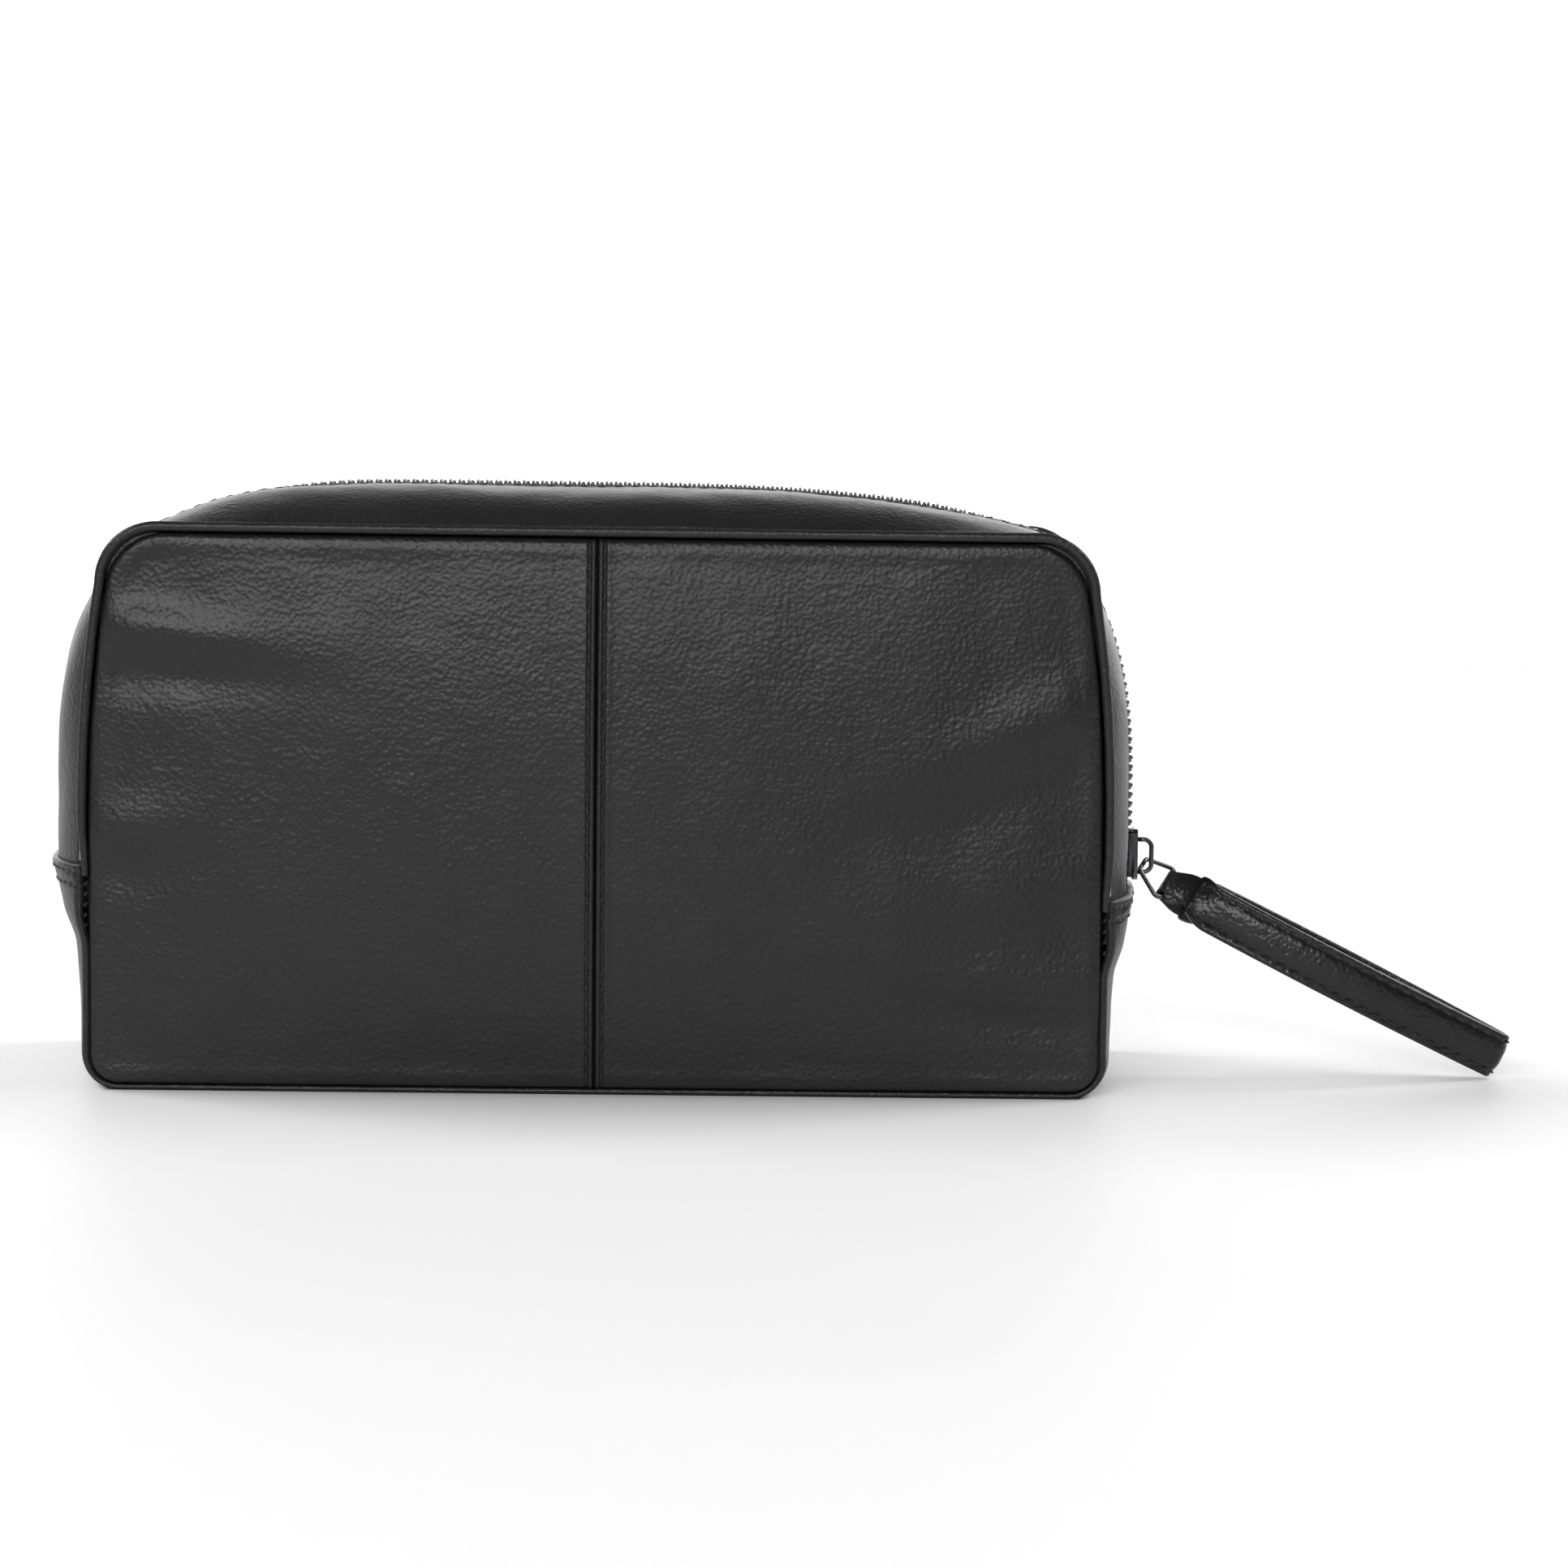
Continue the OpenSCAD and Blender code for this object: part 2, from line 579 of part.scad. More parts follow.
module slider_body() {
    color(gunmetal) {
        difference() {
            along_x(tape_x + wing_x, wing_t) wing_shape();
            along_x(tape_x + wing_x - 1, wing_t + 2)
                translate([-window_w / 2, window_z]) square([window_w, window_h]);
        }
        along_x(tape_x - wing_x - wing_t, wing_t) wing_shape();
        for (x = [tape_x + tape_slot / 2, tape_x - wing_x], side = [-1, 1])
            along_x(x, flange_h)
                translate([side > 0 ? mouth_half - flange_t : -mouth_half, 1])
                    square([flange_t, slider_len - 2.2]);
        along_x(tape_x - wing_x, 2 * wing_x)
            translate([-divider_t / 2, 0.3]) square([divider_t, 2.6]);
    }
}

// Arch over the slider's outer plate, with a straight bore across it
module slider_bail() {
    height = bail_hole_h + bail_t;
    color(gunmetal)
        translate([slider_face_x, bail_w / 2, bail_z]) rotate([90, 0, 0]) linear_extrude(bail_w)
            difference() {
                union() {
                    square([height / 2, bail_len]);
                    translate([0, height / 2]) square([height, bail_len - height]);
                    for (z = [height / 2, bail_len - height / 2])
                        translate([height / 2, z]) circle(height / 2);
                }
                union() {
                    translate([-1, bail_t]) square([1 + bail_hole_h / 2, hole_len]);
                    translate([0, bail_t + bail_hole_h / 2]) square([bail_hole_h, hole_len - bail_hole_h]);
                    for (z = [bail_t + bail_hole_h / 2, bail_len - bail_t - bail_hole_h / 2])
                        translate([bail_hole_h / 2, z]) circle(bail_hole_h / 2);
                }
            }
}

// Sprung pin that stands in the slider's window and grips between two teeth
module slider_lock() {
    color(gunmetal)
        along_x(tape_x + wing_x, wing_t + 0.2)
            translate([-window_w / 2 + lock_inset, window_z + lock_inset])
                square([window_w - 2 * lock_inset, window_h - 2 * lock_inset]);
}

// A rounded corner of the ring in its own plane: points from one bearing to another
function ring_corner(centre, from, to) = [for (i = [0:5])
    let (a = mix(from, to, i / 5)) centre + ring_bend * [cos(a), sin(a)]];

// Wire ring: short side through the bail, long side through the strap's tongue
module pull_ring() {
    leg = atan2(ring_bar - ring_apex, ring_len);
    apex_y = ring_apex - ring_bend * tan((90 - leg) / 2);
    bar_y = ring_bar - ring_bend * tan((90 + leg) / 2);
    half = concat(ring_corner([ring_len - ring_bend, bar_y], 0, 90 + leg),
        ring_corner([ring_bend, apex_y], 90 + leg, 180));
    path = concat(half, [for (i = [len(half) - 1:-1:0]) [half[i][0], -half[i][1]]]);
    n = len(path);
    color(gunmetal)
        loop([for (i = [0:n - 1]) let (
            ahead = path[(i + 1) % n] - path[(i + n - 1) % n], out = [ahead[1], -ahead[0]] / norm(ahead))
            [for (a = [0:36:359]) let (p = path[i] + out * ring_r * cos(a))
                ring_pos + ring_dir * p[0] + bar_dir * p[1] + cross(ring_dir, bar_dir) * ring_r * sin(a)]]);
}

// Frame of the strap at a distance from the ring: [across its width, away from the front leg]
function strap_across(s) =
    let (twist = strap_twist * (1 - ease(s / twist_len)))
        cos(twist) * strap_up + sin(twist) * [0, 1, 0] + bar_shear * (1 - ease(s / twist_len)) * strap_dir;
function strap_normal(s) =
    let (twist = strap_twist * (1 - ease(s / twist_len)))
        cos(twist) * [0, 1, 0] - sin(twist) * strap_up;
function loop_gap(s) = end_r + (loop_half - end_r) * pow(sin(180 * clamp01(s / strap_len)), 0.9);

// Point of a leg's middle: side is -1 for the front leg, off is its distance outside the middle
function leg_point(s, side, off, across) =
    bar_pos + strap_dir * s + strap_normal(s) * side * (loop_gap(s) + off) + strap_across(s) * across;

// Lengthwise line along the front leg, round the far fold and back along the other leg
function strap_line(stations, off, across) = concat(
    [for (s = stations) leg_point(s, -1, off, across)],
    [for (i = [1:fold_steps - 1]) let (a = 180 * i / fold_steps)
        bar_pos + strap_dir * (strap_len + (end_r + off) * sin(a))
            - [0, 1, 0] * (end_r + off) * cos(a) + strap_up * across],
    [for (i = [len(stations) - 1:-1:0]) leg_point(stations[i], 1, off, across)]);

module strap_layer(stations, columns, outer_off, inner_off) {
    sheet([for (w = columns) strap_line(stations, outer_off, w)],
        [for (w = columns) strap_line(stations, inner_off, w)]);
}

module strap_outer() {
    color(leather) strap_layer(leg_stations, strap_columns, core_half + strap_outer_t, core_half);
}

module strap_inner() {
    color(edge_leather) strap_layer(leg_stations, strap_columns, -core_half, -core_half - strap_inner_t);
}

module strap_filler() {
    stations = [for (s = leg_stations) if (s > tongue_end) s];
    color(foam)
        strap_layer(stations, concat([-filler_across], core_across, [filler_across]), filler_t / 2, -filler_t / 2);
}

// Tongue from the front leg, round the ring's bar, to the back leg
module strap_tongue() {
    out = (strap_dir - bar_shear * bar_dir) / norm(strap_dir - bar_shear * bar_dir);
    side_dir = cross(out, bar_dir);
    front = side_dir * strap_normal(0) < 0 ? side_dir : -side_dir;
    legs = [for (s = leg_stations) if (s <= tongue_end) s];
    last = len(legs) - 1;
    bend_at = function(off, w, a)
        bar_pos + (fold_r + off) * (front * cos(a) - out * sin(a)) + bar_dir * w;
    line = function(off, w) concat(
        [for (i = [last:-1:0]) leg_point(legs[i], -1, off, w)],
        [mix(leg_point(legs[0], -1, off, w), bend_at(off, w, 0), 0.6)],
        [for (i = [0:8]) bend_at(off, w, 180 * i / 8)],
        [mix(leg_point(legs[0], 1, off, w), bend_at(off, w, 180), 0.6)],
        [for (i = [0:last]) leg_point(legs[i], 1, off, w)]);
    columns = concat([-tongue_w / 2], core_across, [tongue_w / 2]);
    color(leather)
        sheet([for (w = columns) line(tongue_t / 2, w)], [for (w = columns) line(-tongue_t / 2, w)]);
}

half_panel(-1, -1);  // front_panel_left
half_panel(-1, 1);  // front_panel_right
half_panel(1, -1);  // back_panel_left
half_panel(1, 1);  // back_panel_right
seam_tape(-1);  // front_seam_tape
seam_tape(1);  // back_seam_tape
padding(-1);  // front_padding
padding(1);  // back_padding
panel_lining(-1);  // front_lining
panel_lining(1);  // back_lining
slip_pocket();
zip_gusset(-1);  // zip_gusset_front
zip_gusset(1);  // zip_gusset_back
lower_gusset();
piping(-1);  // piping_front
piping(1);  // piping_back
piping_cord(-1);  // piping_cord_front
piping_cord(1);  // piping_cord_back
zip_tape(-1);  // zip_tape_front
zip_tape(1);  // zip_tape_back
zip_teeth(-1);  // zip_teeth_front
zip_teeth(1);  // zip_teeth_back
zip_top_stops();
zip_bottom_stop();
zip_lining(-1);  // zip_lining_front
zip_lining(1);  // zip_lining_back
lower_lining();
base_board();
slider_body();
slider_bail();
slider_lock();
pull_ring();
strap_tongue();
strap_outer();
strap_inner();
strap_filler();
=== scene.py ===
"""Soft leather makeup bag with a curved zip, a cast slider, a wire pull ring and a wrist strap.

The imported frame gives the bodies, the joints and the hidden inner pieces. Every visible piece is worked out
here with numpy from named sizes, in metres, in the frame's own axes: +X towards the wrist strap, -Y towards
the front, +Z up. Run it as a script in Blender 4.5.
"""

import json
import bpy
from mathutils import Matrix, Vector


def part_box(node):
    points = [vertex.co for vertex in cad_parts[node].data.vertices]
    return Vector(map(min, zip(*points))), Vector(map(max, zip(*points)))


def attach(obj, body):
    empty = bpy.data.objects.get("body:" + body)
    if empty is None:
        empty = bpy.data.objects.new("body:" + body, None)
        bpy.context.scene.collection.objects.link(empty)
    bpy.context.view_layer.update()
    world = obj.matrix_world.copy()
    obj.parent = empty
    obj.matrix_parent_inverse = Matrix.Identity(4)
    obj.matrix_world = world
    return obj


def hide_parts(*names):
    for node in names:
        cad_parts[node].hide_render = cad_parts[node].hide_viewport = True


bl_info = {
    "name": "Leather Makeup Bag",
    "version": (1, 0, 0),
    "blender": (4, 5, 0),
    "location": "View3D > Sidebar > Makeup Bag",
    "description": "Builds a leather makeup bag round its packed frame",
    "category": "Add Mesh",
}

from math import pi, radians

import bmesh
import bpy
import numpy as np
from bpy.props import FloatProperty, FloatVectorProperty, PointerProperty
from mathutils import Matrix

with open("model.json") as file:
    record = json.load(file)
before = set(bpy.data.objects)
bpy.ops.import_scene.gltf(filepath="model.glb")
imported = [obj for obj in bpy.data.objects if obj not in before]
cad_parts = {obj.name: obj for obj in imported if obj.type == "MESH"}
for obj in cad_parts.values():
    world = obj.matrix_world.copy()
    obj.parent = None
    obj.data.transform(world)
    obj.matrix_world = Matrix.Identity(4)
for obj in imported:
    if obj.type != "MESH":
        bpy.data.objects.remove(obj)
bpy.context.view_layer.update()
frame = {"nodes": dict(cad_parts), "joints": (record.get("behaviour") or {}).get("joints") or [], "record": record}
MM = 0.001
# How far a row of thread lies outside the leather
THREAD_LIFT = 0.05 * MM
# Straight run left above the slider at its upper limit, and how far below the right tab's top the run starts
RUN_SPARE, RUN_START = 1.2 * MM, 0.2 * MM
# Full swell of the left side reaches from this far below the middle to this far above it
LEFT_BELOW, LEFT_ABOVE = 14 * MM, 10 * MM
# Powers with which the top's swell fades to the left and right corners
CROWN_LEFT, CROWN_RIGHT = 6, 3
# Powers with which a side's swell fades to its bottom and top corners
SIDE_LOW, SIDE_HIGH = 2, 2.5


# ---------------------------------------------------------------- sizes and colours


def length(label, value, about):
    """A length in metres, shown in the sidebar."""
    return FloatProperty(name=label, description=about, default=value, unit="LENGTH", precision=5)


def tint(label, value, about):
    """A linear colour, shown in the sidebar."""
    return FloatVectorProperty(name=label, description=about, default=value, subtype="COLOR", size=3, min=0, max=1)


class BagSizes(bpy.types.PropertyGroup):
    """Sizes of the sewn bag."""

    width: length("Width", 0.257, "Width of the edge seam at its widest")
    height: length("Height", 0.1415, "Height of the edge seam above the table")
    depth: length("Depth", 0.084, "Depth between the front and back edge seams")
    corner_top: length("Top corner", 0.014, "Radius of the top corners")
    corner_bottom: length("Bottom corner", 0.009, "Radius of the bottom corners")
    top_taper: length("Top taper", 0.0069, "How much each side leans in towards the top corners")
    lean: length("Lean", 0.0004, "How much lower the right end of the top is than its middle")
    back_drop: length("Back drop", 0.004, "How much lower the back of the top is than its front")
    left_bulge: length("Left bulge", 0.0088, "Swell of the left side past the edge seam")
    right_bulge: length("Right bulge", 0.0059, "Swell of the right side past the edge seam")
    crown_rise: length("Crown", 0.011, "Swell of the top above the edge seam")
    corner_bulge: length("Corner swell", 0.0012, "Swell left where the top corners begin and end")
    corner_dip: length("Corner dip", 0.0026, "Dip of the swell in the middle of each top corner")
    base_bulge: length("Base swell", 0.002, "Swell left at the bottom corners")
    panel_crown: length("Panel swell", 0.0055, "How far each panel swells outwards")
    leather: length("Leather", 0.0014, "Thickness of the leather")
    seam_set: length("Seam set", 0.0015, "Distance of a panel's edge inside the edge seam")
    lip: length("Lip", 0.0055, "Half the opening between the two leather lips of the zip")
    tab_left: length("Left tab", 0.0569, "Top of the left tab")
    tab_right: length("Right tab", 0.0507, "Top of the right tab")
    tab_overlap: length("Tab overlap", 0.011, "Overlap of each tab over the zip gusset")
    piping: length("Piping", 0.00125, "Outside radius of the piping")


class ZipSizes(bpy.types.PropertyGroup):
    """Sizes of the zip, its slider and its ring."""

    tape_edge: length("Tape edge", 0.014, "Distance of the tape's sewn edge from the middle of the zip")
    tape: length("Tape", 0.0006, "Thickness of the tape")
    pitch: length("Tooth pitch", 0.00235, "Distance between two teeth on one side")
    tooth: length("Tooth", 0.0011, "Thickness of a tooth along the zip")
    reach: length("Tooth reach", 0.003, "Reach of a tooth across its own side")
    mesh: length("Tooth mesh", 0.00045, "Reach of a tooth past the middle")
    parting: length("Parting", 0.00055, "Distance of a tooth from the middle along the slider's run")
    tooth_height: length("Tooth height", 0.003, "Height of a tooth through the tape")
    sink: length("Zip depth", 0.001, "Depth of the tape's middle below the leather over the top")
    lift: length("Zip lift", 0.0005, "Height of the tape's middle above the leather beside the slider")
    ring_wire: length("Ring wire", 0.0006, "Radius of the ring's wire")
    ring_short: length("Ring short side", 0.0025, "Half the length of the ring's short side")
    ring_long: length("Ring long side", 0.0072, "Half the length of the ring's long side")
    ring_bend: length("Ring bend", 0.0014, "Bend radius of the ring's corners")


class StrapSizes(bpy.types.PropertyGroup):
    """Sizes of the wrist strap."""

    length: length("Length", 0.094, "Length of the strap from the ring to its far fold")
    width: length("Width", 0.012, "Width of the strap")
    tongue: length("Tongue", 0.0094, "Width of the tongue that folds round the ring")
    start: length("Start", 0.006, "Distance from the ring to the end of the strap's leather")
    twist_length: length("Twist", 0.013, "Length over which the strap turns from the ring's bar to upright")
    opening: length("Opening", 0.0082, "Half the loop's opening at its widest")
    end: length("End", 0.0016, "Half the gap between the middles of the legs at each end")
    edge: length("Edge", 0.0009, "Half the strap's thickness at its edges")
    middle: length("Middle", 0.0015, "Half the strap's thickness in its padded middle")
    row: length("Stitch row", 0.0044, "Distance of each stitch row from the strap's middle line")


class StitchSizes(bpy.types.PropertyGroup):
    """Sizes of the topstitching."""

    thread: length("Thread", 0.00036, "Radius of the thread")
    panel_pitch: length("Panel pitch", 0.0037, "Distance between two stitches beside the centre seam")
    gusset_pitch: length("Gusset pitch", 0.0043, "Distance between two stitches beside the zip")
    tab_pitch: length("Tab pitch", 0.0036, "Distance between two stitches on a tab")
    strap_pitch: length("Strap pitch", 0.004, "Distance between two stitches on the strap")


class Colours(bpy.types.PropertyGroup):
    """Colours of the materials."""

    leather: tint("Leather", (0.006, 0.006, 0.0064), "Smooth dyed leather")
    leather_worn: tint("Worn leather", (0.014, 0.014, 0.0145), "Leather where it is rubbed along an edge")
    thread: tint("Thread", (0.0022, 0.0022, 0.0022), "Waxed thread")
    tape: tint("Tape", (0.006, 0.006, 0.0065), "Woven zip tape")
    metal: tint("Gunmetal", (0.075, 0.075, 0.08), "Dark nickel plating")
    lining: tint("Lining", (0.03, 0.03, 0.034), "Woven lining")
    foam: tint("Foam", (0.32, 0.32, 0.3), "Foam and filler")
    board: tint("Board", (0.17, 0.13, 0.09), "Pressed board")
    floor: tint("Floor", (0.93, 0.93, 0.93), "Plain pale floor")


class MakeupBag(bpy.types.PropertyGroup):
    """Everything that a user may change."""

    bag: PointerProperty(type=BagSizes)
    zip: PointerProperty(type=ZipSizes)
    strap: PointerProperty(type=StrapSizes)
    stitch: PointerProperty(type=StitchSizes)
    colour: PointerProperty(type=Colours)


def settings():
    return bpy.context.scene.makeup_bag


# ---------------------------------------------------------------- numpy helpers


def mix(a, b, t):
    return a + (b - a) * t


def ease(t):
    """Smooth step: 3t^2 - 2t^3 with t held between 0 and 1."""
    t = np.clip(t, 0, 1)
    return t * t * (3 - 2 * t)


def unit(v):
    """Each vector at length 1."""
    return v / np.maximum(np.linalg.norm(v, axis=-1, keepdims=True), 1e-12)


def hump(d, width):
    """Bell curve: exp(-(d / width)^2)."""
    return np.exp(-np.square(d / width))


def rolled(d, radius):
    """Drop of a rounded edge at a distance d inside it: radius - sqrt(radius^2 - (radius - d)^2)."""
    inside = np.clip(1 - d / radius, 0, 1)
    return radius * (1 - np.sqrt(1 - inside * inside))


def ripple(x, z, seed, scale, octaves=4):
    """Soft, seeded unevenness: a sum of sines whose directions and phases come from the seed."""
    rng = np.random.default_rng(seed)
    total = np.zeros(np.broadcast(x, z).shape)
    for octave in range(octaves):
        turn, phase, other = rng.uniform(0, 2 * pi, 3)
        k = 2 * pi / scale * 1.7**octave
        along = k * (x * np.cos(turn) + z * np.sin(turn))
        across = k * (z * np.cos(turn) - x * np.sin(turn))
        total += np.sin(along + phase + np.sin(across * 0.7 + other)) / 1.6**octave
    return total / 2


# ---------------------------------------------------------------- the bag's own surface


def side_x(z):
    """Half width of the edge seam at height z: straight below, bent in as the square of the height above."""
    b = settings().bag
    middle = b.height / 2
    return b.width / 2 - b.top_taper * np.square(np.maximum(0, (z - middle) / (b.height - middle)))


def seam_marks():
    """Distances along the edge seam, from the base's middle, at which one stretch ends and the next begins."""
    b = settings().bag
    arc_z = b.height - b.corner_top
    low_x = b.width / 2 - b.corner_bottom
    top_x = float(side_x(arc_z)) - b.corner_top
    spans = [low_x, b.corner_bottom * pi / 2, arc_z - b.corner_bottom, b.corner_top * pi / 2, 2 * top_x,
             b.corner_top * pi / 2, arc_z - b.corner_bottom, b.corner_bottom * pi / 2, low_x]
    return np.cumsum(spans), arc_z, low_x, top_x


def right_at(z):
    """Distance along the edge seam of a height on the right side."""
    marks = seam_marks()[0]
    return marks[1] + z - settings().bag.corner_bottom


def left_at(z):
    """Distance along the edge seam of a height on the left side."""
    marks, arc_z = seam_marks()[:2]
    return marks[5] + arc_z - z


def run_top():
    """Top of the straight run that the slider travels."""
    top_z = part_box("slider_body")[1].z
    travel = next(j for j in frame["joints"] if j["name"] == "zip_slide")["range_m"][1]
    return top_z + travel + RUN_SPARE


def side_swell(z, bulge, low, high, arc_z):
    """Full swell between low and high. It fades as a power of the height left to the bottom or top corner."""
    b = settings().bag
    full = bulge + b.width / 2 - side_x(z)
    below = np.clip((z - b.corner_bottom) / (low - b.corner_bottom), 0, 1) ** SIDE_LOW
    above = np.clip((z - high) / (arc_z - high), 0, 1) ** SIDE_HIGH
    return np.where(z < low, mix(b.base_bulge, full, below), mix(full, b.corner_bulge, above))


def seam(t):
    """Point, outward normal and swell of the edge seam at distances t along it, counted from the base's middle
    round by the right side. Straight stretches and quarter circles follow each other. The top's swell falls from
    the crown to the corners as a power of |x|, and each top corner dips as |sin 2a| of its angle a."""
    b = settings().bag
    marks, arc_z, low_x, top_x = seam_marks()
    t = np.asarray(t, float)
    part = np.searchsorted(marks[:-1], t, side="right")
    along = t - np.concatenate([[0], marks])[part]
    quarter_low = along / b.corner_bottom
    quarter_top = along / b.corner_top
    right_z = b.corner_bottom + along
    left_z = arc_z - along
    zero, one = np.zeros_like(t), np.ones_like(t)
    angle = np.choose(part, [zero - pi / 2, quarter_low - pi / 2, zero, quarter_top, zero + pi / 2,
                             quarter_top + pi / 2, zero + pi, quarter_low + pi, zero - pi / 2])
    c, s = np.cos(angle), np.sin(angle)
    x = np.choose(part, [along, low_x + b.corner_bottom * c, side_x(right_z), top_x + b.corner_top * c,
                         top_x - along, -top_x + b.corner_top * c, -side_x(left_z),
                         -low_x + b.corner_bottom * c, -low_x + along])
    z = np.choose(part, [zero, b.corner_bottom * (1 + s), right_z, arc_z + b.corner_top * s, one * b.height,
                         arc_z + b.corner_top * s, left_z, b.corner_bottom * (1 + s), zero])
    middle = b.height / 2
    power = np.where(x < 0, CROWN_LEFT, CROWN_RIGHT)
    crown = mix(b.crown_rise, b.corner_bulge, np.clip(np.abs(x) / top_x, 0, 1) ** power)
    corner = b.corner_bulge - b.corner_dip * np.abs(np.sin(2 * angle))
    swell = np.choose(part, [zero, b.base_bulge * c * c,
                             side_swell(right_z, b.right_bulge, b.tab_right - RUN_START, run_top(), arc_z),
                             corner, crown, corner,
                             side_swell(left_z, b.left_bulge, middle - LEFT_BELOW, middle + LEFT_ABOVE, arc_z),
                             b.base_bulge * c * c, zero])
    return np.stack([x, z], -1), np.stack([c, s], -1), swell


def leaned(x, y, z):
    """The top leans down to the right and to the back, in proportion to height, x and depth."""
    b = settings().bag
    x, y, z = np.broadcast_arrays(x, y, z)
    drop = b.lean * x / (b.width / 2) + b.back_drop * (y + b.depth / 2) / b.depth
    return np.stack([x, y, z * (1 - drop / b.height)], -1)


def shell(t, y, off):
    """Point of the gusset: the seam's point, moved out along its normal by swell times 1 - (y / half depth)^4
    and by off."""
    half = settings().bag.depth / 2
    p, n, swell = seam(t)
    out = swell * (1 - np.abs(y / half) ** 4) + off
    return leaned(p[..., 0] + n[..., 0] * out, y, p[..., 1] + n[..., 1] * out)


def steps(start, stop, size):
    """Even steps of about a size between two values."""
    return np.linspace(start, stop, max(2, int(round(abs(stop - start) / size)) + 1))


# ---------------------------------------------------------------- mesh makers


def add_mesh(name, points, faces, attributes=None, uv=None):
    """A mesh object at the origin. attributes are values per point; uv is a pair per point."""
    mesh = bpy.data.meshes.new(name)
    mesh.from_pydata(points.reshape(-1, 3).tolist(), [], faces.tolist())
    mesh.polygons.foreach_set("use_smooth", np.full(len(mesh.polygons), True))
    for key, values in (attributes or {}).items():
        mesh.attributes.new(key, "FLOAT", "POINT").data.foreach_set("value", np.ravel(values).astype(np.float32))
    if uv is not None:
        corners = np.zeros(len(mesh.loops), np.int32)
        mesh.loops.foreach_get("vertex_index", corners)
        layer = mesh.uv_layers.new(name="weave")
        layer.data.foreach_set("uv", np.asarray(uv, np.float32).reshape(-1, 2)[corners].ravel())
    mesh.update()
    piece = bpy.data.objects.new(name, mesh)
    bpy.context.scene.collection.objects.link(piece)
    face_outwards(piece)
    return piece


def face_outwards(piece):
    """Turns the faces of a closed mesh outwards when its signed volume is negative."""
    mesh = piece.data
    mesh.calc_loop_triangles()
    index = np.zeros(len(mesh.loop_triangles) * 3, np.int32)
    mesh.loop_triangles.foreach_get("vertices", index)
    co = np.zeros(len(mesh.vertices) * 3)
    mesh.vertices.foreach_get("co", co)
    a, b, c = co.reshape(-1, 3)[index.reshape(-1, 3)].transpose(1, 0, 2)
    if np.sum(a * np.cross(b, c)) < 0:
        mesh.flip_normals()
        mesh.update()


def grid_faces(rows, cols, first=0, closed=False):
    """Quads of a grid of points; closed joins its last column to its first."""
    j, k = np.meshgrid(np.arange(rows - 1), np.arange(cols if closed else cols - 1), indexing="ij")
    ahead = (k + 1) % cols
    quads = [j * cols + k, j * cols + ahead, (j + 1) * cols + ahead, (j + 1) * cols + k]
    return first + np.stack(quads, -1).reshape(-1, 4)


def sheet_faces(rows, cols):
    """Quads of a solid sheet: an outer grid, an inner grid turned round, and the four edges between them."""
    n = rows * cols
    index = np.arange(n).reshape(rows, cols)
    rim = np.concatenate([index[0, :], index[1:, -1], index[-1, -2::-1], index[-2:0:-1, 0]])
    after = np.roll(rim, -1)
    edge = np.stack([after, rim, rim + n, after + n], -1)
    return np.concatenate([grid_faces(rows, cols), grid_faces(rows, cols, n)[:, ::-1], edge])


def sheet_piece(name, outer, inner, **extra):
    """Solid sheet between two equal grids of points. Values in extra are given for the outer grid."""
    twice = {k: np.concatenate([v, v]) for k, v in extra.get("attributes", {}).items()}
    uv = extra.get("uv")
    uv = None if uv is None else np.concatenate([uv, uv])
    return add_mesh(name, np.concatenate([outer, inner]), sheet_faces(*outer.shape[:2]), twice, uv)


def tube_piece(name, rings, closed=False, **extra):
    """Solid tube through rings of points, each a closed loop. Fans close its ends unless it is a loop itself."""
    rows, cols = rings.shape[:2]
    if closed:
        rings = np.concatenate([rings, rings[:1]])
        faces = grid_faces(rows + 1, cols, closed=True)
        faces = np.where(faces >= rows * cols, faces - rows * cols, faces)
        return add_mesh(name, rings[:-1], faces, **extra)
    ends = np.stack([rings[0].mean(0), rings[-1].mean(0)])
    ring = np.arange(cols)
    ahead = (ring + 1) % cols
    last = (rows - 1) * cols
    tip = np.full(cols, rows * cols)
    caps = np.concatenate([np.stack([tip, ahead, ring], -1), np.stack([tip + 1, last + ring, last + ahead], -1)])
    points = np.concatenate([rings.reshape(-1, 3), ends])
    faces = grid_faces(rows, cols, closed=True).tolist() + caps.tolist()
    mesh_faces = np.empty(len(faces), object)
    mesh_faces[:] = faces
    pad = {k: np.concatenate([np.ravel(v), [np.ravel(v)[0], np.ravel(v)[-1]]])
           for k, v in extra.get("attributes", {}).items()}
    return add_mesh(name, points, mesh_faces, pad)


def along(points, closed=False):
    """Direction of a line of points at each of them."""
    if closed:
        return unit(np.roll(points, -1, 0) - np.roll(points, 1, 0))
    return unit(np.gradient(points, axis=0))


def swept(centre, side, up, half_side, half_up, count, power=2.0):
    """Rings round a line: a superellipse, |a / half_side|^power + |b / half_up|^power = 1, in each side and up."""
    a = np.linspace(0, 2 * pi, count, endpoint=False)
    c, s = np.cos(a), np.sin(a)
    c, s = np.sign(c) * np.abs(c) ** (2 / power), np.sign(s) * np.abs(s) ** (2 / power)
    half_side, half_up = (np.broadcast_to(h, (len(centre),))[:, None, None] for h in (half_side, half_up))
    across, rise = side[:, None] * c[None, :, None] * half_side, up[:, None] * s[None, :, None] * half_up
    return centre[:, None] + across + rise


def ring_caps(rows, around):
    """Three faces over the first ring and three over the last of a closed grid with eight points a ring."""
    first = np.array([[0, 1, 2, 3], [0, 3, 4, 5], [0, 5, 6, 7]])
    return np.concatenate([first[:, ::-1], first + (rows - 1) * around])


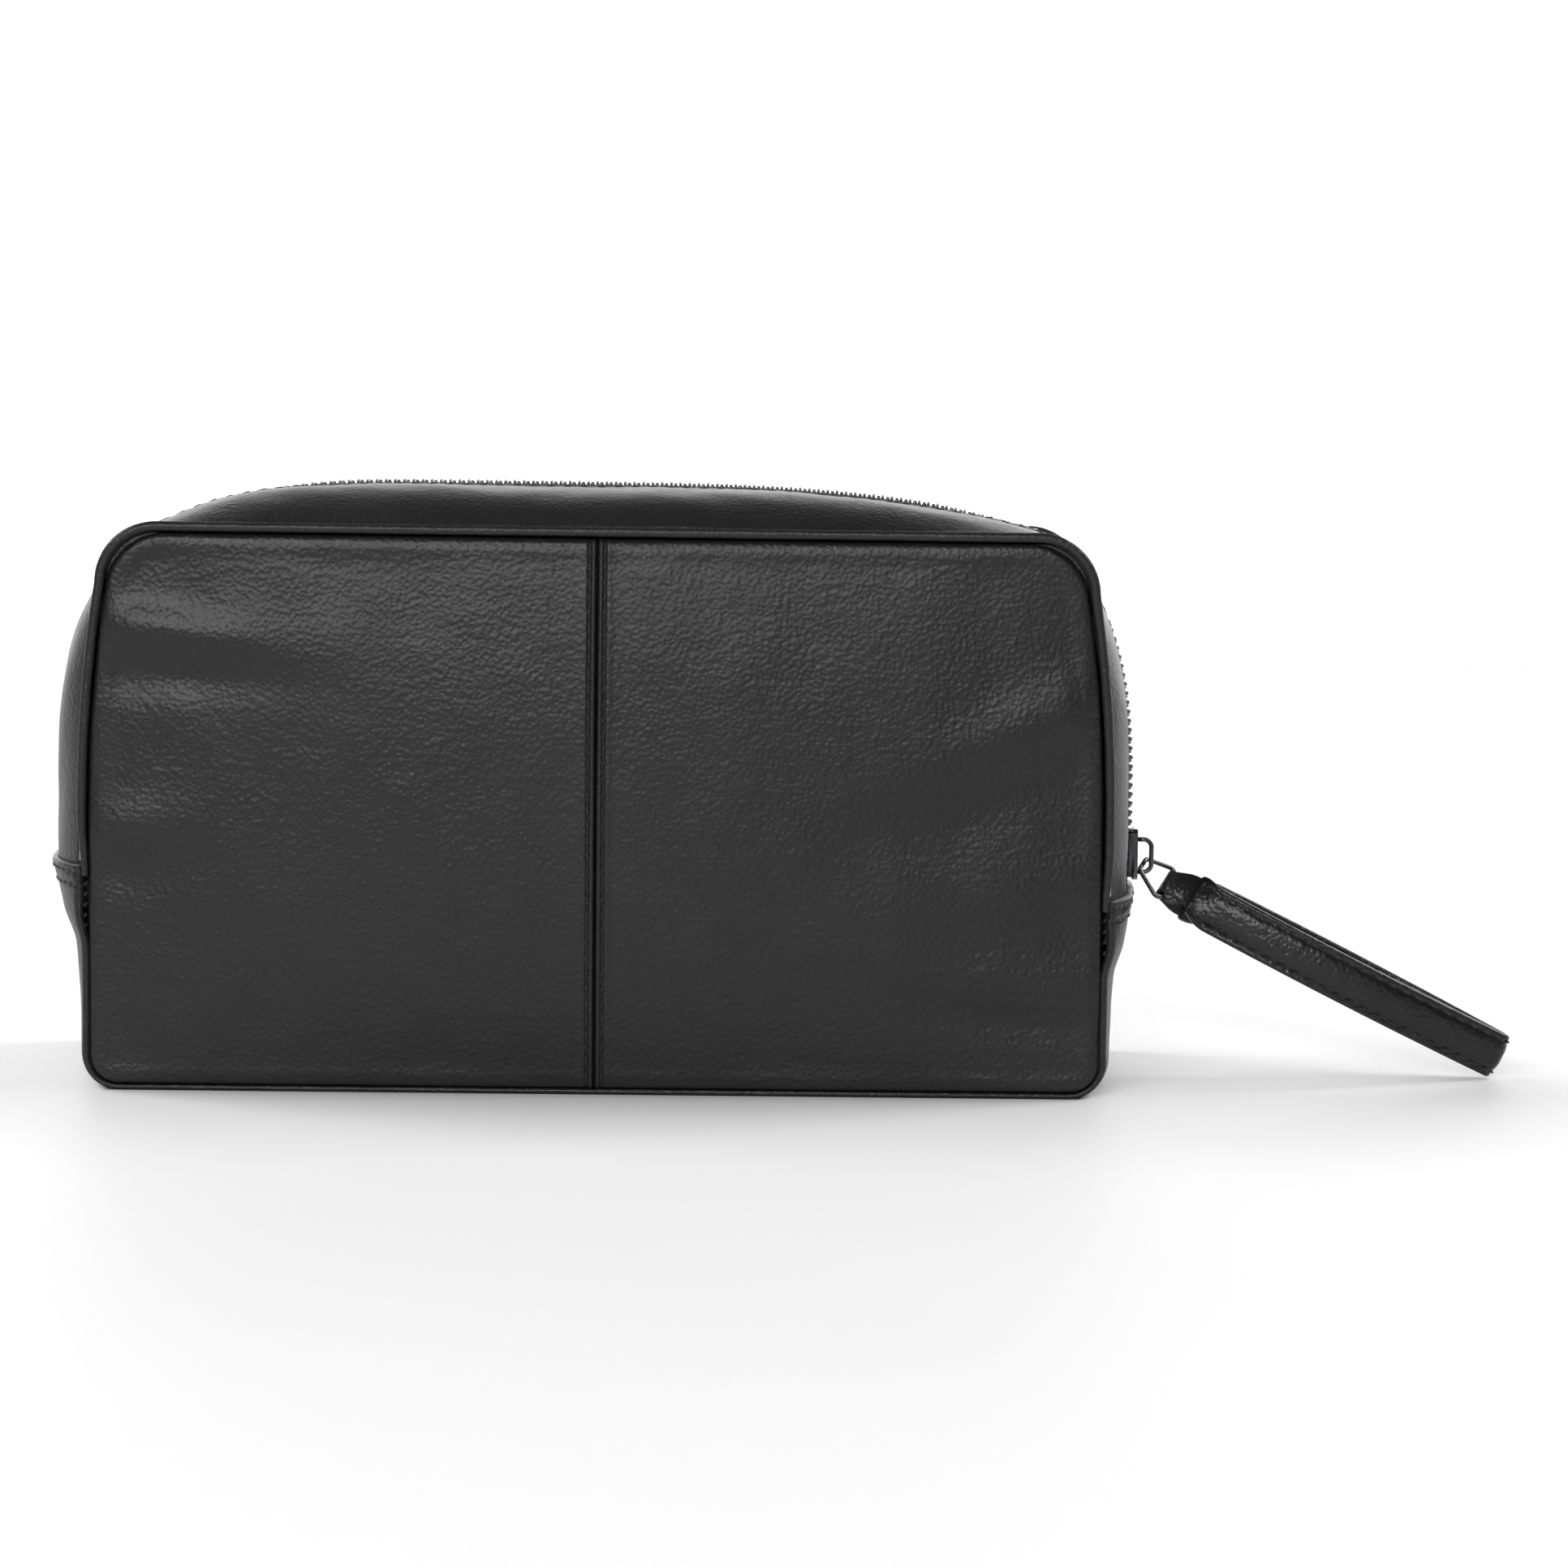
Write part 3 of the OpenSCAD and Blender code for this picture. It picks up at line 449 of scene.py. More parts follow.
def stitches(name, points, ahead, up, size, slant=0.0):
    """A row of thread stitches. Each is a capsule that bows out of the leather: its middle line rises as
    1 - x^2 along its length and its radius closes at both ends as sqrt(1 - x^4)."""
    r = settings().stitch.thread
    along_steps, around = 6, 8
    x = np.linspace(-1, 1, along_steps)
    a = np.linspace(0, 2 * pi, around, endpoint=False)
    ahead, up = unit(ahead), unit(up)
    side = np.cross(ahead, up)
    lie = unit(ahead * np.cos(slant) + side * np.sin(slant))
    across = np.cross(lie, up)
    radius = r * np.sqrt(np.clip(1 - x**4, 0.03, 1))
    ply = 1 + 0.12 * np.sin(2 * a[None, :] + 9 * x[:, None])
    ring_side = (radius[:, None] * ply * np.cos(a))[None, :, :, None]
    ring_up = (radius[:, None] * ply * np.sin(a))[None, :, :, None] * 0.85
    lift = (r * (0.75 - 1.5 * x**2))[None, :, None, None]
    run = (x * size / 2)[None, :, None, None]
    p = points[:, None, None] + lie[:, None, None] * run + up[:, None, None] * (lift + ring_up)
    p = p + across[:, None, None] * ring_side
    one = np.concatenate([grid_faces(along_steps, around, closed=True), ring_caps(along_steps, around)])
    first = np.arange(len(points)) * along_steps * around
    piece = add_mesh(name, p, (one[None] + first[:, None, None]).reshape(-1, 4))
    paint(piece, "thread")
    return piece


def stitch_line(name, line, up, pitch, slant=0.0, share=0.78):
    """Stitches at an even pitch along a line of points, each on the line and square to up."""
    run = np.concatenate([[0], np.cumsum(np.linalg.norm(np.diff(line, axis=0), axis=1))])
    count = max(1, int(run[-1] / pitch))
    at = (np.arange(count) + 0.5) * run[-1] / count
    place = np.stack([np.interp(at, run, line[:, i]) for i in range(3)], -1)
    out = np.stack([np.interp(at, run, up[:, i]) for i in range(3)], -1)
    ahead = along(line)
    ahead = np.stack([np.interp(at, run, ahead[:, i]) for i in range(3)], -1)
    return stitches(name, place, ahead, out, pitch * share, slant)


# ---------------------------------------------------------------- materials


class Nodes:
    """Short names for building one material."""

    def __init__(self, name):
        self.material = bpy.data.materials.new(name)
        self.material.use_nodes = True
        self.tree = self.material.node_tree
        self.shader = self.tree.nodes["Principled BSDF"]

    def add(self, kind, sockets=None, **fields):
        node = self.tree.nodes.new(kind)
        for key, value in fields.items():
            setattr(node, key, value)
        for key, value in (sockets or {}).items():
            if isinstance(value, bpy.types.NodeSocket):
                self.tree.links.new(value, node.inputs[key])
            else:
                node.inputs[key].default_value = value
        return node

    def object_place(self, scale=(1, 1, 1)):
        place = self.add("ShaderNodeTexCoord").outputs["Object"]
        return self.add("ShaderNodeMapping", {"Vector": place, "Scale": scale}).outputs["Vector"]

    def noise(self, place, scale, detail=3.0, rough=0.5):
        sockets = {"Vector": place, "Scale": scale, "Detail": detail, "Roughness": rough}
        return self.add("ShaderNodeTexNoise", sockets).outputs["Fac"]

    def ramp(self, value, low, high, out_low=0.0, out_high=1.0):
        sockets = {"Value": value, 1: low, 2: high, 3: out_low, 4: out_high}
        return self.add("ShaderNodeMapRange", sockets).outputs[0]

    def blend(self, amount, a, b):
        node = self.add("ShaderNodeMix", data_type="RGBA")
        self.put(node.inputs["Factor"], amount)
        self.put(node.inputs[6], a)
        self.put(node.inputs[7], b)
        return node.outputs[2]

    def math(self, kind, a, b):
        node = self.add("ShaderNodeMath", operation=kind)
        self.put(node.inputs[0], a)
        self.put(node.inputs[1], b)
        return node.outputs[0]

    def put(self, socket, value):
        if isinstance(value, bpy.types.NodeSocket):
            self.tree.links.new(value, socket)
        else:
            socket.default_value = value

    def bump(self, height, distance, strength=1.0, under=None):
        sockets = {"Height": height, "Distance": distance, "Strength": strength}
        node = self.add("ShaderNodeBump", sockets)
        if under is not None:
            self.put(node.inputs["Normal"], under)
        return node.outputs["Normal"]

    def set(self, **sockets):
        for key, value in sockets.items():
            self.put(self.shader.inputs[key.replace("_", " ")], value)
        return self.material


def rgba(colour, times=1.0):
    """A colour with its alpha, made lighter or darker by a factor."""
    return (*(v * times for v in colour), 1.0)


def leather_material(name="leather", gloss=0.0, crease=0.35):
    """Smooth dyed leather: a fine pebble over soft creases, cloudy colour and gloss, and rubbed edges."""
    c = settings().colour
    m = Nodes(name)
    place = m.object_place()
    pebble = m.add("ShaderNodeTexVoronoi", {"Vector": place, "Scale": 950.0, "Randomness": 1.0},
                   feature="SMOOTH_F1").outputs["Distance"]
    pores = m.noise(place, 3200.0, 2.0, 0.6)
    fine = m.noise(m.object_place((1, 1, 2.2)), 200.0, 2.0, 0.5)
    cloud = m.noise(place, 26.0, 4.0, 0.55)
    worn = m.add("ShaderNodeAttribute", attribute_name="worn").outputs["Fac"]
    base = m.blend(m.ramp(cloud, 0.3, 0.75), rgba(c.leather), rgba(c.leather, 1.5))
    base = m.blend(m.math("MULTIPLY", worn, 0.8), base, rgba(c.leather_worn))
    cloudy = m.ramp(cloud, 0.25, 0.75, 0.4 - gloss, 0.47 - gloss)
    rough = m.math("ADD", cloudy, m.ramp(pores, 0.3, 0.7, -0.03, 0.03))
    soft = m.bump(m.ramp(fine, 0.35, 0.75), 0.00014, crease)
    grain = m.bump(pebble, 0.0002, 0.9, soft)
    skin = m.bump(pores, 0.00003, 0.5, grain)
    return m.set(Base_Color=base, Roughness=rough, Normal=skin, Specular_IOR_Level=0.4,
                 Coat_Weight=0.04, Coat_Roughness=0.25)


def thread_material():
    """Waxed thread: twisted plies run slantwise along each stitch."""
    c = settings().colour
    m = Nodes("thread")
    place = m.object_place()
    fuzz = m.noise(place, 2600.0, 3.0, 0.7)
    wave = m.add("ShaderNodeTexWave", {"Vector": m.object_place((1, 1.3, 1)), "Scale": 900.0, "Distortion": 2.0},
                 wave_type="BANDS", bands_direction="DIAGONAL").outputs["Fac"]
    base = m.blend(fuzz, rgba(c.thread), rgba(c.thread, 2.4))
    return m.set(Base_Color=base, Roughness=m.ramp(wave, 0, 1, 0.5, 0.72), Normal=m.bump(wave, 0.0001, 0.7),
                 Sheen_Weight=0.15)


def woven_material(name, colour, pitch, sheen=0.1):
    """Plain weave: two crossed sets of ribs, one along each axis of the piece's own weave coordinates."""
    m = Nodes(name)
    own = m.add("ShaderNodeUVMap", uv_map="weave").outputs["UV"]
    scale = 1.0 / pitch
    place = m.add("ShaderNodeMapping", {"Vector": own, "Scale": (scale, scale, scale)}).outputs["Vector"]
    split = m.add("ShaderNodeSeparateXYZ", {"Vector": place})
    warp = m.math("SINE", m.math("MULTIPLY", split.outputs[0], pi), 0.0)
    weft = m.math("SINE", m.math("MULTIPLY", split.outputs[1], pi), 0.0)
    weave = m.math("MULTIPLY", warp, weft)
    fuzz = m.noise(m.object_place(), 1800.0, 3.0, 0.6)
    base = m.blend(m.ramp(weave, -1, 1, 0.1, 0.9), rgba(colour), rgba(colour, 1.9))
    base = m.blend(m.ramp(fuzz, 0.4, 0.8, 0, 0.25), base, rgba(colour, 2.5))
    normal = m.bump(fuzz, 0.00005, 0.4, m.bump(weave, pitch * 0.35, 0.8))
    return m.set(Base_Color=base, Roughness=m.ramp(fuzz, 0.3, 0.7, 0.75, 0.9), Normal=normal, Sheen_Weight=sheen)


def crossed_material(name, colour, pitch):
    """Woven cloth on a frame node: ribs on the object's X and Z axes, with fuzz."""
    m = Nodes(name)
    split = m.add("ShaderNodeSeparateXYZ", {"Vector": m.object_place((1 / pitch, 1 / pitch, 1 / pitch))})
    warp = m.math("SINE", m.math("MULTIPLY", m.math("ADD", split.outputs[0], split.outputs[1]), pi), 0.0)
    weft = m.math("SINE", m.math("MULTIPLY", m.math("ADD", split.outputs[2], split.outputs[1]), pi), 0.0)
    weave = m.math("MULTIPLY", warp, weft)
    fuzz = m.noise(m.object_place(), 1500.0, 3.0, 0.6)
    base = m.blend(m.ramp(weave, -1, 1, 0.1, 0.9), rgba(colour), rgba(colour, 1.7))
    normal = m.bump(weave, pitch * 0.3, 0.6)
    return m.set(Base_Color=base, Roughness=m.ramp(fuzz, 0.3, 0.7, 0.7, 0.88), Normal=normal, Sheen_Weight=0.12)


def metal_material():
    """Dark nickel plating: cloudy polish, fine brushing and small rubbed patches."""
    c = settings().colour
    m = Nodes("gunmetal")
    place = m.object_place()
    cloud = m.noise(place, 220.0, 4.0, 0.6)
    brush = m.noise(m.object_place((1, 1, 14)), 900.0, 3.0, 0.6)
    worn = m.add("ShaderNodeAttribute", attribute_name="worn").outputs["Fac"]
    base = m.blend(m.ramp(cloud, 0.35, 0.7), rgba(c.metal), rgba(c.metal, 1.6))
    base = m.blend(worn, base, rgba(c.metal, 2.6))
    rough = m.math("ADD", m.ramp(cloud, 0.3, 0.7, 0.22, 0.34), m.ramp(brush, 0.3, 0.7, -0.03, 0.05))
    return m.set(Base_Color=base, Metallic=1.0, Roughness=rough, Normal=m.bump(brush, 0.00003, 0.35))


def speckled_material(name, colour, scale, rough):
    """Foam or board: a cellular speckle with an uneven surface."""
    m = Nodes(name)
    place = m.object_place()
    cells = m.add("ShaderNodeTexVoronoi", {"Vector": place, "Scale": scale}).outputs["Distance"]
    cloud = m.noise(place, scale * 0.1, 4.0, 0.6)
    base = m.blend(m.ramp(cells, 0.1, 0.8), rgba(colour, 0.7), rgba(colour))
    base = m.blend(m.ramp(cloud, 0.4, 0.7, 0, 0.3), base, rgba(colour, 0.55))
    return m.set(Base_Color=base, Roughness=m.ramp(cloud, 0.3, 0.7, rough - 0.06, rough + 0.06),
                 Normal=m.bump(cells, 0.2 / scale, 0.6))


def floor_with_painted_shade_material():
    """Pale paper floor, painted dark grey well in front of the bag: painted shade, so that the leather reflects a
    darker floor there.
    """
    m = Nodes("floor")
    place = m.object_place()
    cloud = m.noise(place, 9.0, 3.0, 0.5)
    # painted shade: dark grey nearer the camera than 0.95 m in front of the bag, fading to the pale floor colour
    # by 0.6 m
    front = m.ramp(m.add("ShaderNodeSeparateXYZ", {"Vector": place}).outputs[1], -0.95, -0.6)
    base = m.blend(front, rgba((0.1, 0.1, 0.1)), rgba(settings().colour.floor))
    return m.set(Base_Color=base, Roughness=m.ramp(cloud, 0.3, 0.7, 0.55, 0.6), Specular_IOR_Level=0.2)


MAKERS = {
    "leather": leather_material,
    "strap_leather": lambda: leather_material("strap_leather", gloss=0.1, crease=0.6),
    "thread": thread_material,
    "zip_tape": lambda: woven_material("zip_tape", settings().colour.tape, 0.45 * MM),
    "gunmetal": metal_material,
    "lining": lambda: crossed_material("lining", settings().colour.lining, 0.35 * MM),
    "seam_tape": lambda: crossed_material("seam_tape", settings().colour.tape, 0.5 * MM),
    "foam": lambda: speckled_material("foam", settings().colour.foam, 1400.0, 0.9),
    "board": lambda: speckled_material("board", settings().colour.board, 700.0, 0.8),
    "floor": floor_with_painted_shade_material,
}


made = {}


def material(name):
    """The named material, made the first time it is asked for; the frame's own flat ones have the same names."""
    if name not in made:
        made[name] = MAKERS[name]()
    return made[name]


def paint(piece, name):
    piece.data.materials.clear()
    piece.data.materials.append(material(name))


def hand_over(piece, body, slot, *nodes):
    """The piece rides on a body, and stands for CAD nodes if any are named, which are hidden. slot is not used."""
    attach(piece, body)
    if nodes:
        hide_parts(*nodes)
    return piece


def dress(piece, body, slot, *nodes):
    """Hands over a piece that wears the material of its own finish slot."""
    paint(piece, slot)
    return hand_over(piece, body, slot, *nodes)


def on_shell(t, y, off):
    """A line just outside the gusset's face, for thread, and its outward directions."""
    line = shell(t, y, off + THREAD_LIFT)
    return line, line - shell(t, y, off - 1 * MM)


# ---------------------------------------------------------------- front and back panels


def panel_rim(x, z):
    """Distance inside the panel's rounded outline: the signed distance of a box with round corners whose half
    width follows the leaning side."""
    b = settings().bag
    half = side_x(z) - b.seam_set
    middle = b.height / 2
    r = np.where(z > middle, b.corner_top, b.corner_bottom) - b.seam_set
    qx = np.abs(x) - (half - r)
    qz = np.abs(z - middle) - (middle - b.seam_set - r)
    outside = np.hypot(np.maximum(qx, 0), np.maximum(qz, 0))
    return r - outside - np.minimum(np.maximum(qx, qz), 0)


def fold(x, z, at, size, turn, height):
    """One soft fold: a long bell-shaped ridge at a place, turned in the panel."""
    c, s = np.cos(radians(turn)), np.sin(radians(turn))
    dx, dz = x - at[0], z - at[1]
    return height * hump(dx * c + dz * s, size[0]) * hump(dz * c - dx * s, size[1])


def panel_folds(x, z):
    """Soft folds of the front leather: ridges that start at the ends and fade towards the middle."""
    left = fold(x, z, (-0.116, 0.1165), (0.034, 0.0065), -6, 1.5 * MM)
    left += fold(x, z, (-0.112, 0.105), (0.03, 0.006), -3, -0.9 * MM)
    left += fold(x, z, (-0.124, 0.066), (0.02, 0.007), 8, 0.9 * MM)
    left += fold(x, z, (-0.12, 0.055), (0.018, 0.005), 4, -0.5 * MM)
    right = fold(x, z, (0.118, 0.098), (0.036, 0.009), 24, 1.1 * MM)
    right += fold(x, z, (0.1, 0.076), (0.036, 0.01), 22, -0.8 * MM)
    right += fold(x, z, (0.118, 0.055), (0.026, 0.008), 12, 0.6 * MM)
    right += fold(x, z, (0.112, 0.03), (0.03, 0.006), -8, 0.6 * MM)
    right += fold(x, z, (0.108, 0.019), (0.026, 0.004), -6, -0.45 * MM)
    return 1.4 * (left + right)


def crinkle(x, z):
    """Fine horizontal wrinkles in the lower right corner, faded out elsewhere."""
    patch = fold(x, z, (0.108, 0.03), (0.03, 0.024), 0, 1.0) + fold(x, z, (0.122, 0.093), (0.016, 0.02), 0, 0.7)
    lines = np.sin(z / (0.62 * MM) + 1.9 * ripple(x, z, 5, 0.012, 3)) * (0.6 + 0.4 * ripple(x, z, 9, 0.02))
    return 0.09 * MM * patch * lines


def seam_relief(x):
    """Turned edges beside the centre seam: a groove in the middle, two rolled strips and the stitches' lines."""
    d = np.abs(x)
    return 0.42 * MM * hump(d - 0.95 * MM, 0.6 * MM) - 0.34 * MM * hump(d - 1.9 * MM, 0.4 * MM) \
        + 0.14 * MM * hump(d - 3.0 * MM, 0.9 * MM) - 0.7 * MM * hump(d, 0.28 * MM)


def panel_y(x, z):
    """Depth of the plain swollen panel: half the bag's depth and a crown of (1 - |x|^3)(1 - |z|^2.2)."""
    b = settings().bag
    middle = b.height / 2
    across = 1 - np.minimum(1, np.abs(x) / side_x(z)) ** 3
    return b.depth / 2 + b.panel_crown * across * (1 - np.minimum(1, np.abs(z - middle) / middle) ** 2.2)


def panel_surface(x, z, side):
    """Outer face of a panel with its folds, seam and rolled rim. side is -1 for the front."""
    rim = panel_rim(x, z)
    flip = 1 if side < 0 else -1
    inner = ease(rim / (9 * MM))
    soft = panel_folds(flip * x, z) * mix(0.35, 1, inner) + crinkle(flip * x, z)
    soft = soft + 0.3 * MM * ripple(x, z, 3 if side < 0 else 8, 0.07) * inner
    keep = ease((np.abs(x) - 2 * MM) / (10 * MM))
    edge = 0.25 * MM * hump(rim - 3 * MM, 2 * MM) - rolled(rim, 1.5 * MM) * 0.8
    y = panel_y(x, z) + soft * keep + seam_relief(x) + edge
    return leaned(x, side * y, z)


def panel_grid(hand):
    """x and z of half a panel: rows follow the outline from its foot to its top, columns crowd at the seam."""
    b = settings().bag
    marks = seam_marks()[0]
    t = np.concatenate([steps(marks[0], marks[1], 0.5 * MM)[:-1], steps(marks[1], marks[2], 0.75 * MM)[:-1],
                        steps(marks[2], marks[3], 0.5 * MM)])
    p, n, _ = seam(t)
    edge = p - n * b.seam_set
    share = np.concatenate([np.arange(0.15, 4.2, 0.15) * MM, steps(4.3 * MM, side_x(0.0) - b.seam_set, 0.9 * MM)])
    share = share / share[-1]
    share = np.concatenate([share[:-1], 1 - np.array([1.1, 0.7, 0.4, 0.15, 0]) * MM / (b.width / 2)])
    share = np.sort(share)
    x = edge[:, :1] * share[None, :]
    return hand * x, np.broadcast_to(edge[:, 1:], x.shape)


def make_half_panel(side, hand, node):
    x, z = panel_grid(hand)
    outer = panel_surface(x, z, side)
    inner = outer - np.array([0, side * settings().bag.leather, 0])
    rim = panel_rim(x, z)
    worn = 0.5 * hump(rim - 1.2 * MM, 1.0 * MM) + 0.6 * hump(np.abs(x) - 1.0 * MM, 0.5 * MM)
    piece = sheet_piece(node + "_leather", outer, inner, attributes={"worn": worn})
    return dress(piece, "bag", "leather", node)


class BAG_OT_panels(bpy.types.Operator):
    """Make the four leather half panels with their folds and rolled seams"""

    bl_idname = "makeup_bag.panels"
    bl_label = "Panels"

    def execute(self, context):
        for word, side in (("front", -1), ("back", 1)):
            make_half_panel(side, -1, word + "_panel_left")
            make_half_panel(side, 1, word + "_panel_right")
        return {"FINISHED"}


class BAG_OT_seam_stitches(bpy.types.Operator):
    """Sew one row of thread on each side of each centre seam"""

    bl_idname = "makeup_bag.seam_stitches"
    bl_label = "Centre seam stitches"

    def execute(self, context):
        b, s = settings().bag, settings().stitch
        row = 1.9 * MM
        z = steps(b.seam_set + 1.2 * MM, b.height - b.seam_set - 1.2 * MM, 1 * MM)
        for word, side in (("front", -1), ("back", 1)):
            up = np.broadcast_to([0.0, side, 0.0], (len(z), 3))
            for name, hand in (("left", -1), ("right", 1)):
                line = panel_surface(np.full(len(z), hand * row), z, side) + up * THREAD_LIFT
                piece = stitch_line(f"{word}_seam_thread_{name}", line, up, s.panel_pitch, hand * side * -0.16)
                hand_over(piece, "bag", "leather")
        return {"FINISHED"}


# ---------------------------------------------------------------- piping


class BAG_OT_piping(bpy.types.Operator):
    """Roll the piping round each panel from tab to tab"""

    bl_idname = "makeup_bag.piping"
    bl_label = "Piping"

    def execute(self, context):
        b = settings().bag
        t = steps(right_at(b.tab_right - 3 * MM), left_at(b.tab_left - 3 * MM), 0.8 * MM)
        p, n, _ = seam(t)
        fade = np.minimum(ease((t - t[0]) / (16 * MM)), ease((t[-1] - t) / (16 * MM)))
        for word, side in (("front", -1), ("back", 1)):
            uneven = 1 + 0.035 * ripple(t * 1.0, t * 0.3, 11 + side, 0.02)
            radius = b.piping * mix(0.72, 1, fade) * uneven
            off = mix(-0.6 * MM, 0.2 * MM, fade)
            y = side * (b.depth / 2 - 0.3 * MM)
            centre = leaned(p[:, 0] + n[:, 0] * off, y, p[:, 1] + n[:, 1] * off)
            out = np.stack([n[:, 0], np.zeros(len(t)), n[:, 1]], -1)
            depth = np.broadcast_to([0.0, 1.0, 0.0], out.shape)
            rings = swept(centre, out, depth, radius, radius, 20)
            worn = np.repeat(0.55 + 0.25 * ripple(t, t, 21 + side, 0.03), 20)
            piece = tube_piece(f"piping_{word}_leather", rings, attributes={"worn": worn})
            dress(piece, "bag", "leather", f"piping_{word}")
        return {"FINISHED"}


# ---------------------------------------------------------------- zip gusset


def lip_relief(d):
    """Turned lip beside the zip at a distance d from its edge: a rounded fold, a pad under the turned leather
    and the line that the stitches pull in."""
    pad = 0.28 * MM * hump(d - 1.3 * MM, 1.5 * MM) + 0.12 * MM * hump(d - 4.6 * MM, 1.2 * MM)
    return pad - rolled(d, 0.9 * MM) - 0.22 * MM * hump(d - 3.0 * MM, 0.6 * MM)


def gusset_soft(t, y, seed):
    """Slow unevenness of a gusset strip, with short puckers beside its seams."""
    b = settings().bag
    near_seam = hump(b.depth / 2 - np.abs(y), 7 * MM)
    near_lip = hump(np.abs(y) - b.lip, 7 * MM)
    pucker = np.sin(t / (1.5 * MM) + 2.5 * ripple(t, y, seed, 0.02))
    return 0.4 * MM * ripple(t, y * 1.5, seed + 1, 0.085) * (1 - 0.6 * near_seam) \
        + 0.04 * MM * pucker * (near_seam + near_lip)


def strip_depths(inner_edge, outer_edge):
    """Depths across half a gusset, crowded at the lip."""
    return np.concatenate([inner_edge + np.arange(0, 6.0, 0.28) * MM,
                           steps(inner_edge + 6.2 * MM, outer_edge, 1.0 * MM)])


def zip_gusset_off(t, y, side):
    return lip_relief(np.abs(y) - settings().bag.lip) + gusset_soft(t, y, 31 if side < 0 else 37)


class BAG_OT_zip_gusset(bpy.types.Operator):
    """Make the two leather strips beside the zip and sew their lips"""

    bl_idname = "makeup_bag.zip_gusset"
    bl_label = "Zip gusset"

    def execute(self, context):
        b, s = settings().bag, settings().stitch
        t = steps(right_at(b.tab_right - b.tab_overlap), left_at(b.tab_left - b.tab_overlap), 1.1 * MM)[:, None]
        for word, side in (("front", -1), ("back", 1)):
            y = side * strip_depths(b.lip, b.depth / 2 - 1.4 * MM)[None, :]
            off = zip_gusset_off(t, y, side)
            outer, inner = shell(t, y, off), shell(t, y, off - b.leather)
            d = np.abs(y) - b.lip
            worn = 0.6 * hump(d - 0.5 * MM, 0.8 * MM) + 0 * t
            piece = sheet_piece(f"zip_gusset_{word}_leather", outer, inner, attributes={"worn": worn})
            dress(piece, "bag", "leather", f"zip_gusset_{word}")
            row = steps(right_at(b.tab_right + 1 * MM), left_at(b.tab_left + 1 * MM), 1 * MM)
            depth = np.full(len(row), side * (b.lip + 3.0 * MM))
            line, up = on_shell(row, depth, zip_gusset_off(row, depth, side))
            thread = stitch_line(f"zip_gusset_{word}_thread", line, up, s.gusset_pitch, side * 0.12)
            hand_over(thread, "bag", "leather")
        return {"FINISHED"}


# ---------------------------------------------------------------- lower gusset


def tab_crest(t, y):
    """Height of a tab over what lies under it: over the zip's ridge in the middle, fading below the overlap."""
    b, zp = settings().bag, settings().zip
    marks, arc_z = seam_marks()[:2]
    on_right = t < marks[3]
    z = np.where(on_right, b.corner_bottom + t - marks[1], arc_z - (t - marks[5]))
    top = np.where(on_right, b.tab_right, b.tab_left)
    ridge = np.where(on_right, zp.lift + zp.tape / 2 + 0.1 * MM, 0.1 * MM)
    crest = mix(ridge, 0.1 * MM, ease((np.abs(y) - b.lip) / (9 * MM))) + b.leather
    below = top - z
    lift = (crest + 0.1 * MM) * (1 - ease((below - b.tab_overlap - 1 * MM) / (9 * MM)))
    edge = -rolled(below, 1.1 * MM) + 0.25 * MM * hump(below - 1.0 * MM, 1.0 * MM)
    rows = -0.2 * MM * (hump(below - 2.0 * MM, 0.5 * MM) + hump(below - 5.4 * MM, 0.5 * MM))
    swell = 0.18 * MM * hump(below - 3.7 * MM, 1.1 * MM)
    sides = z > b.corner_bottom
    return lift * sides + (edge + rows + swell) * sides, below


def lower_off(t, y):
    """Distance of the lower gusset's face outside the plain surface; it is plain where it stands on the table."""
    lift, _ = tab_crest(t, y)
    marks = seam_marks()[0]
    flat = ease(np.minimum(np.abs(t - marks[0]), 1) / (14 * MM)) * (t > marks[0])
    other = marks[-1] - t
    raised = np.where(t > marks[4], ease((other - marks[0]) / (14 * MM)) * (other > marks[0]), flat)
    edge = settings().bag.depth / 2 - np.abs(y)
    return lift + gusset_soft(t, y, 51) * raised * 0.8 - rolled(edge, 1.0 * MM) * raised * 0.8


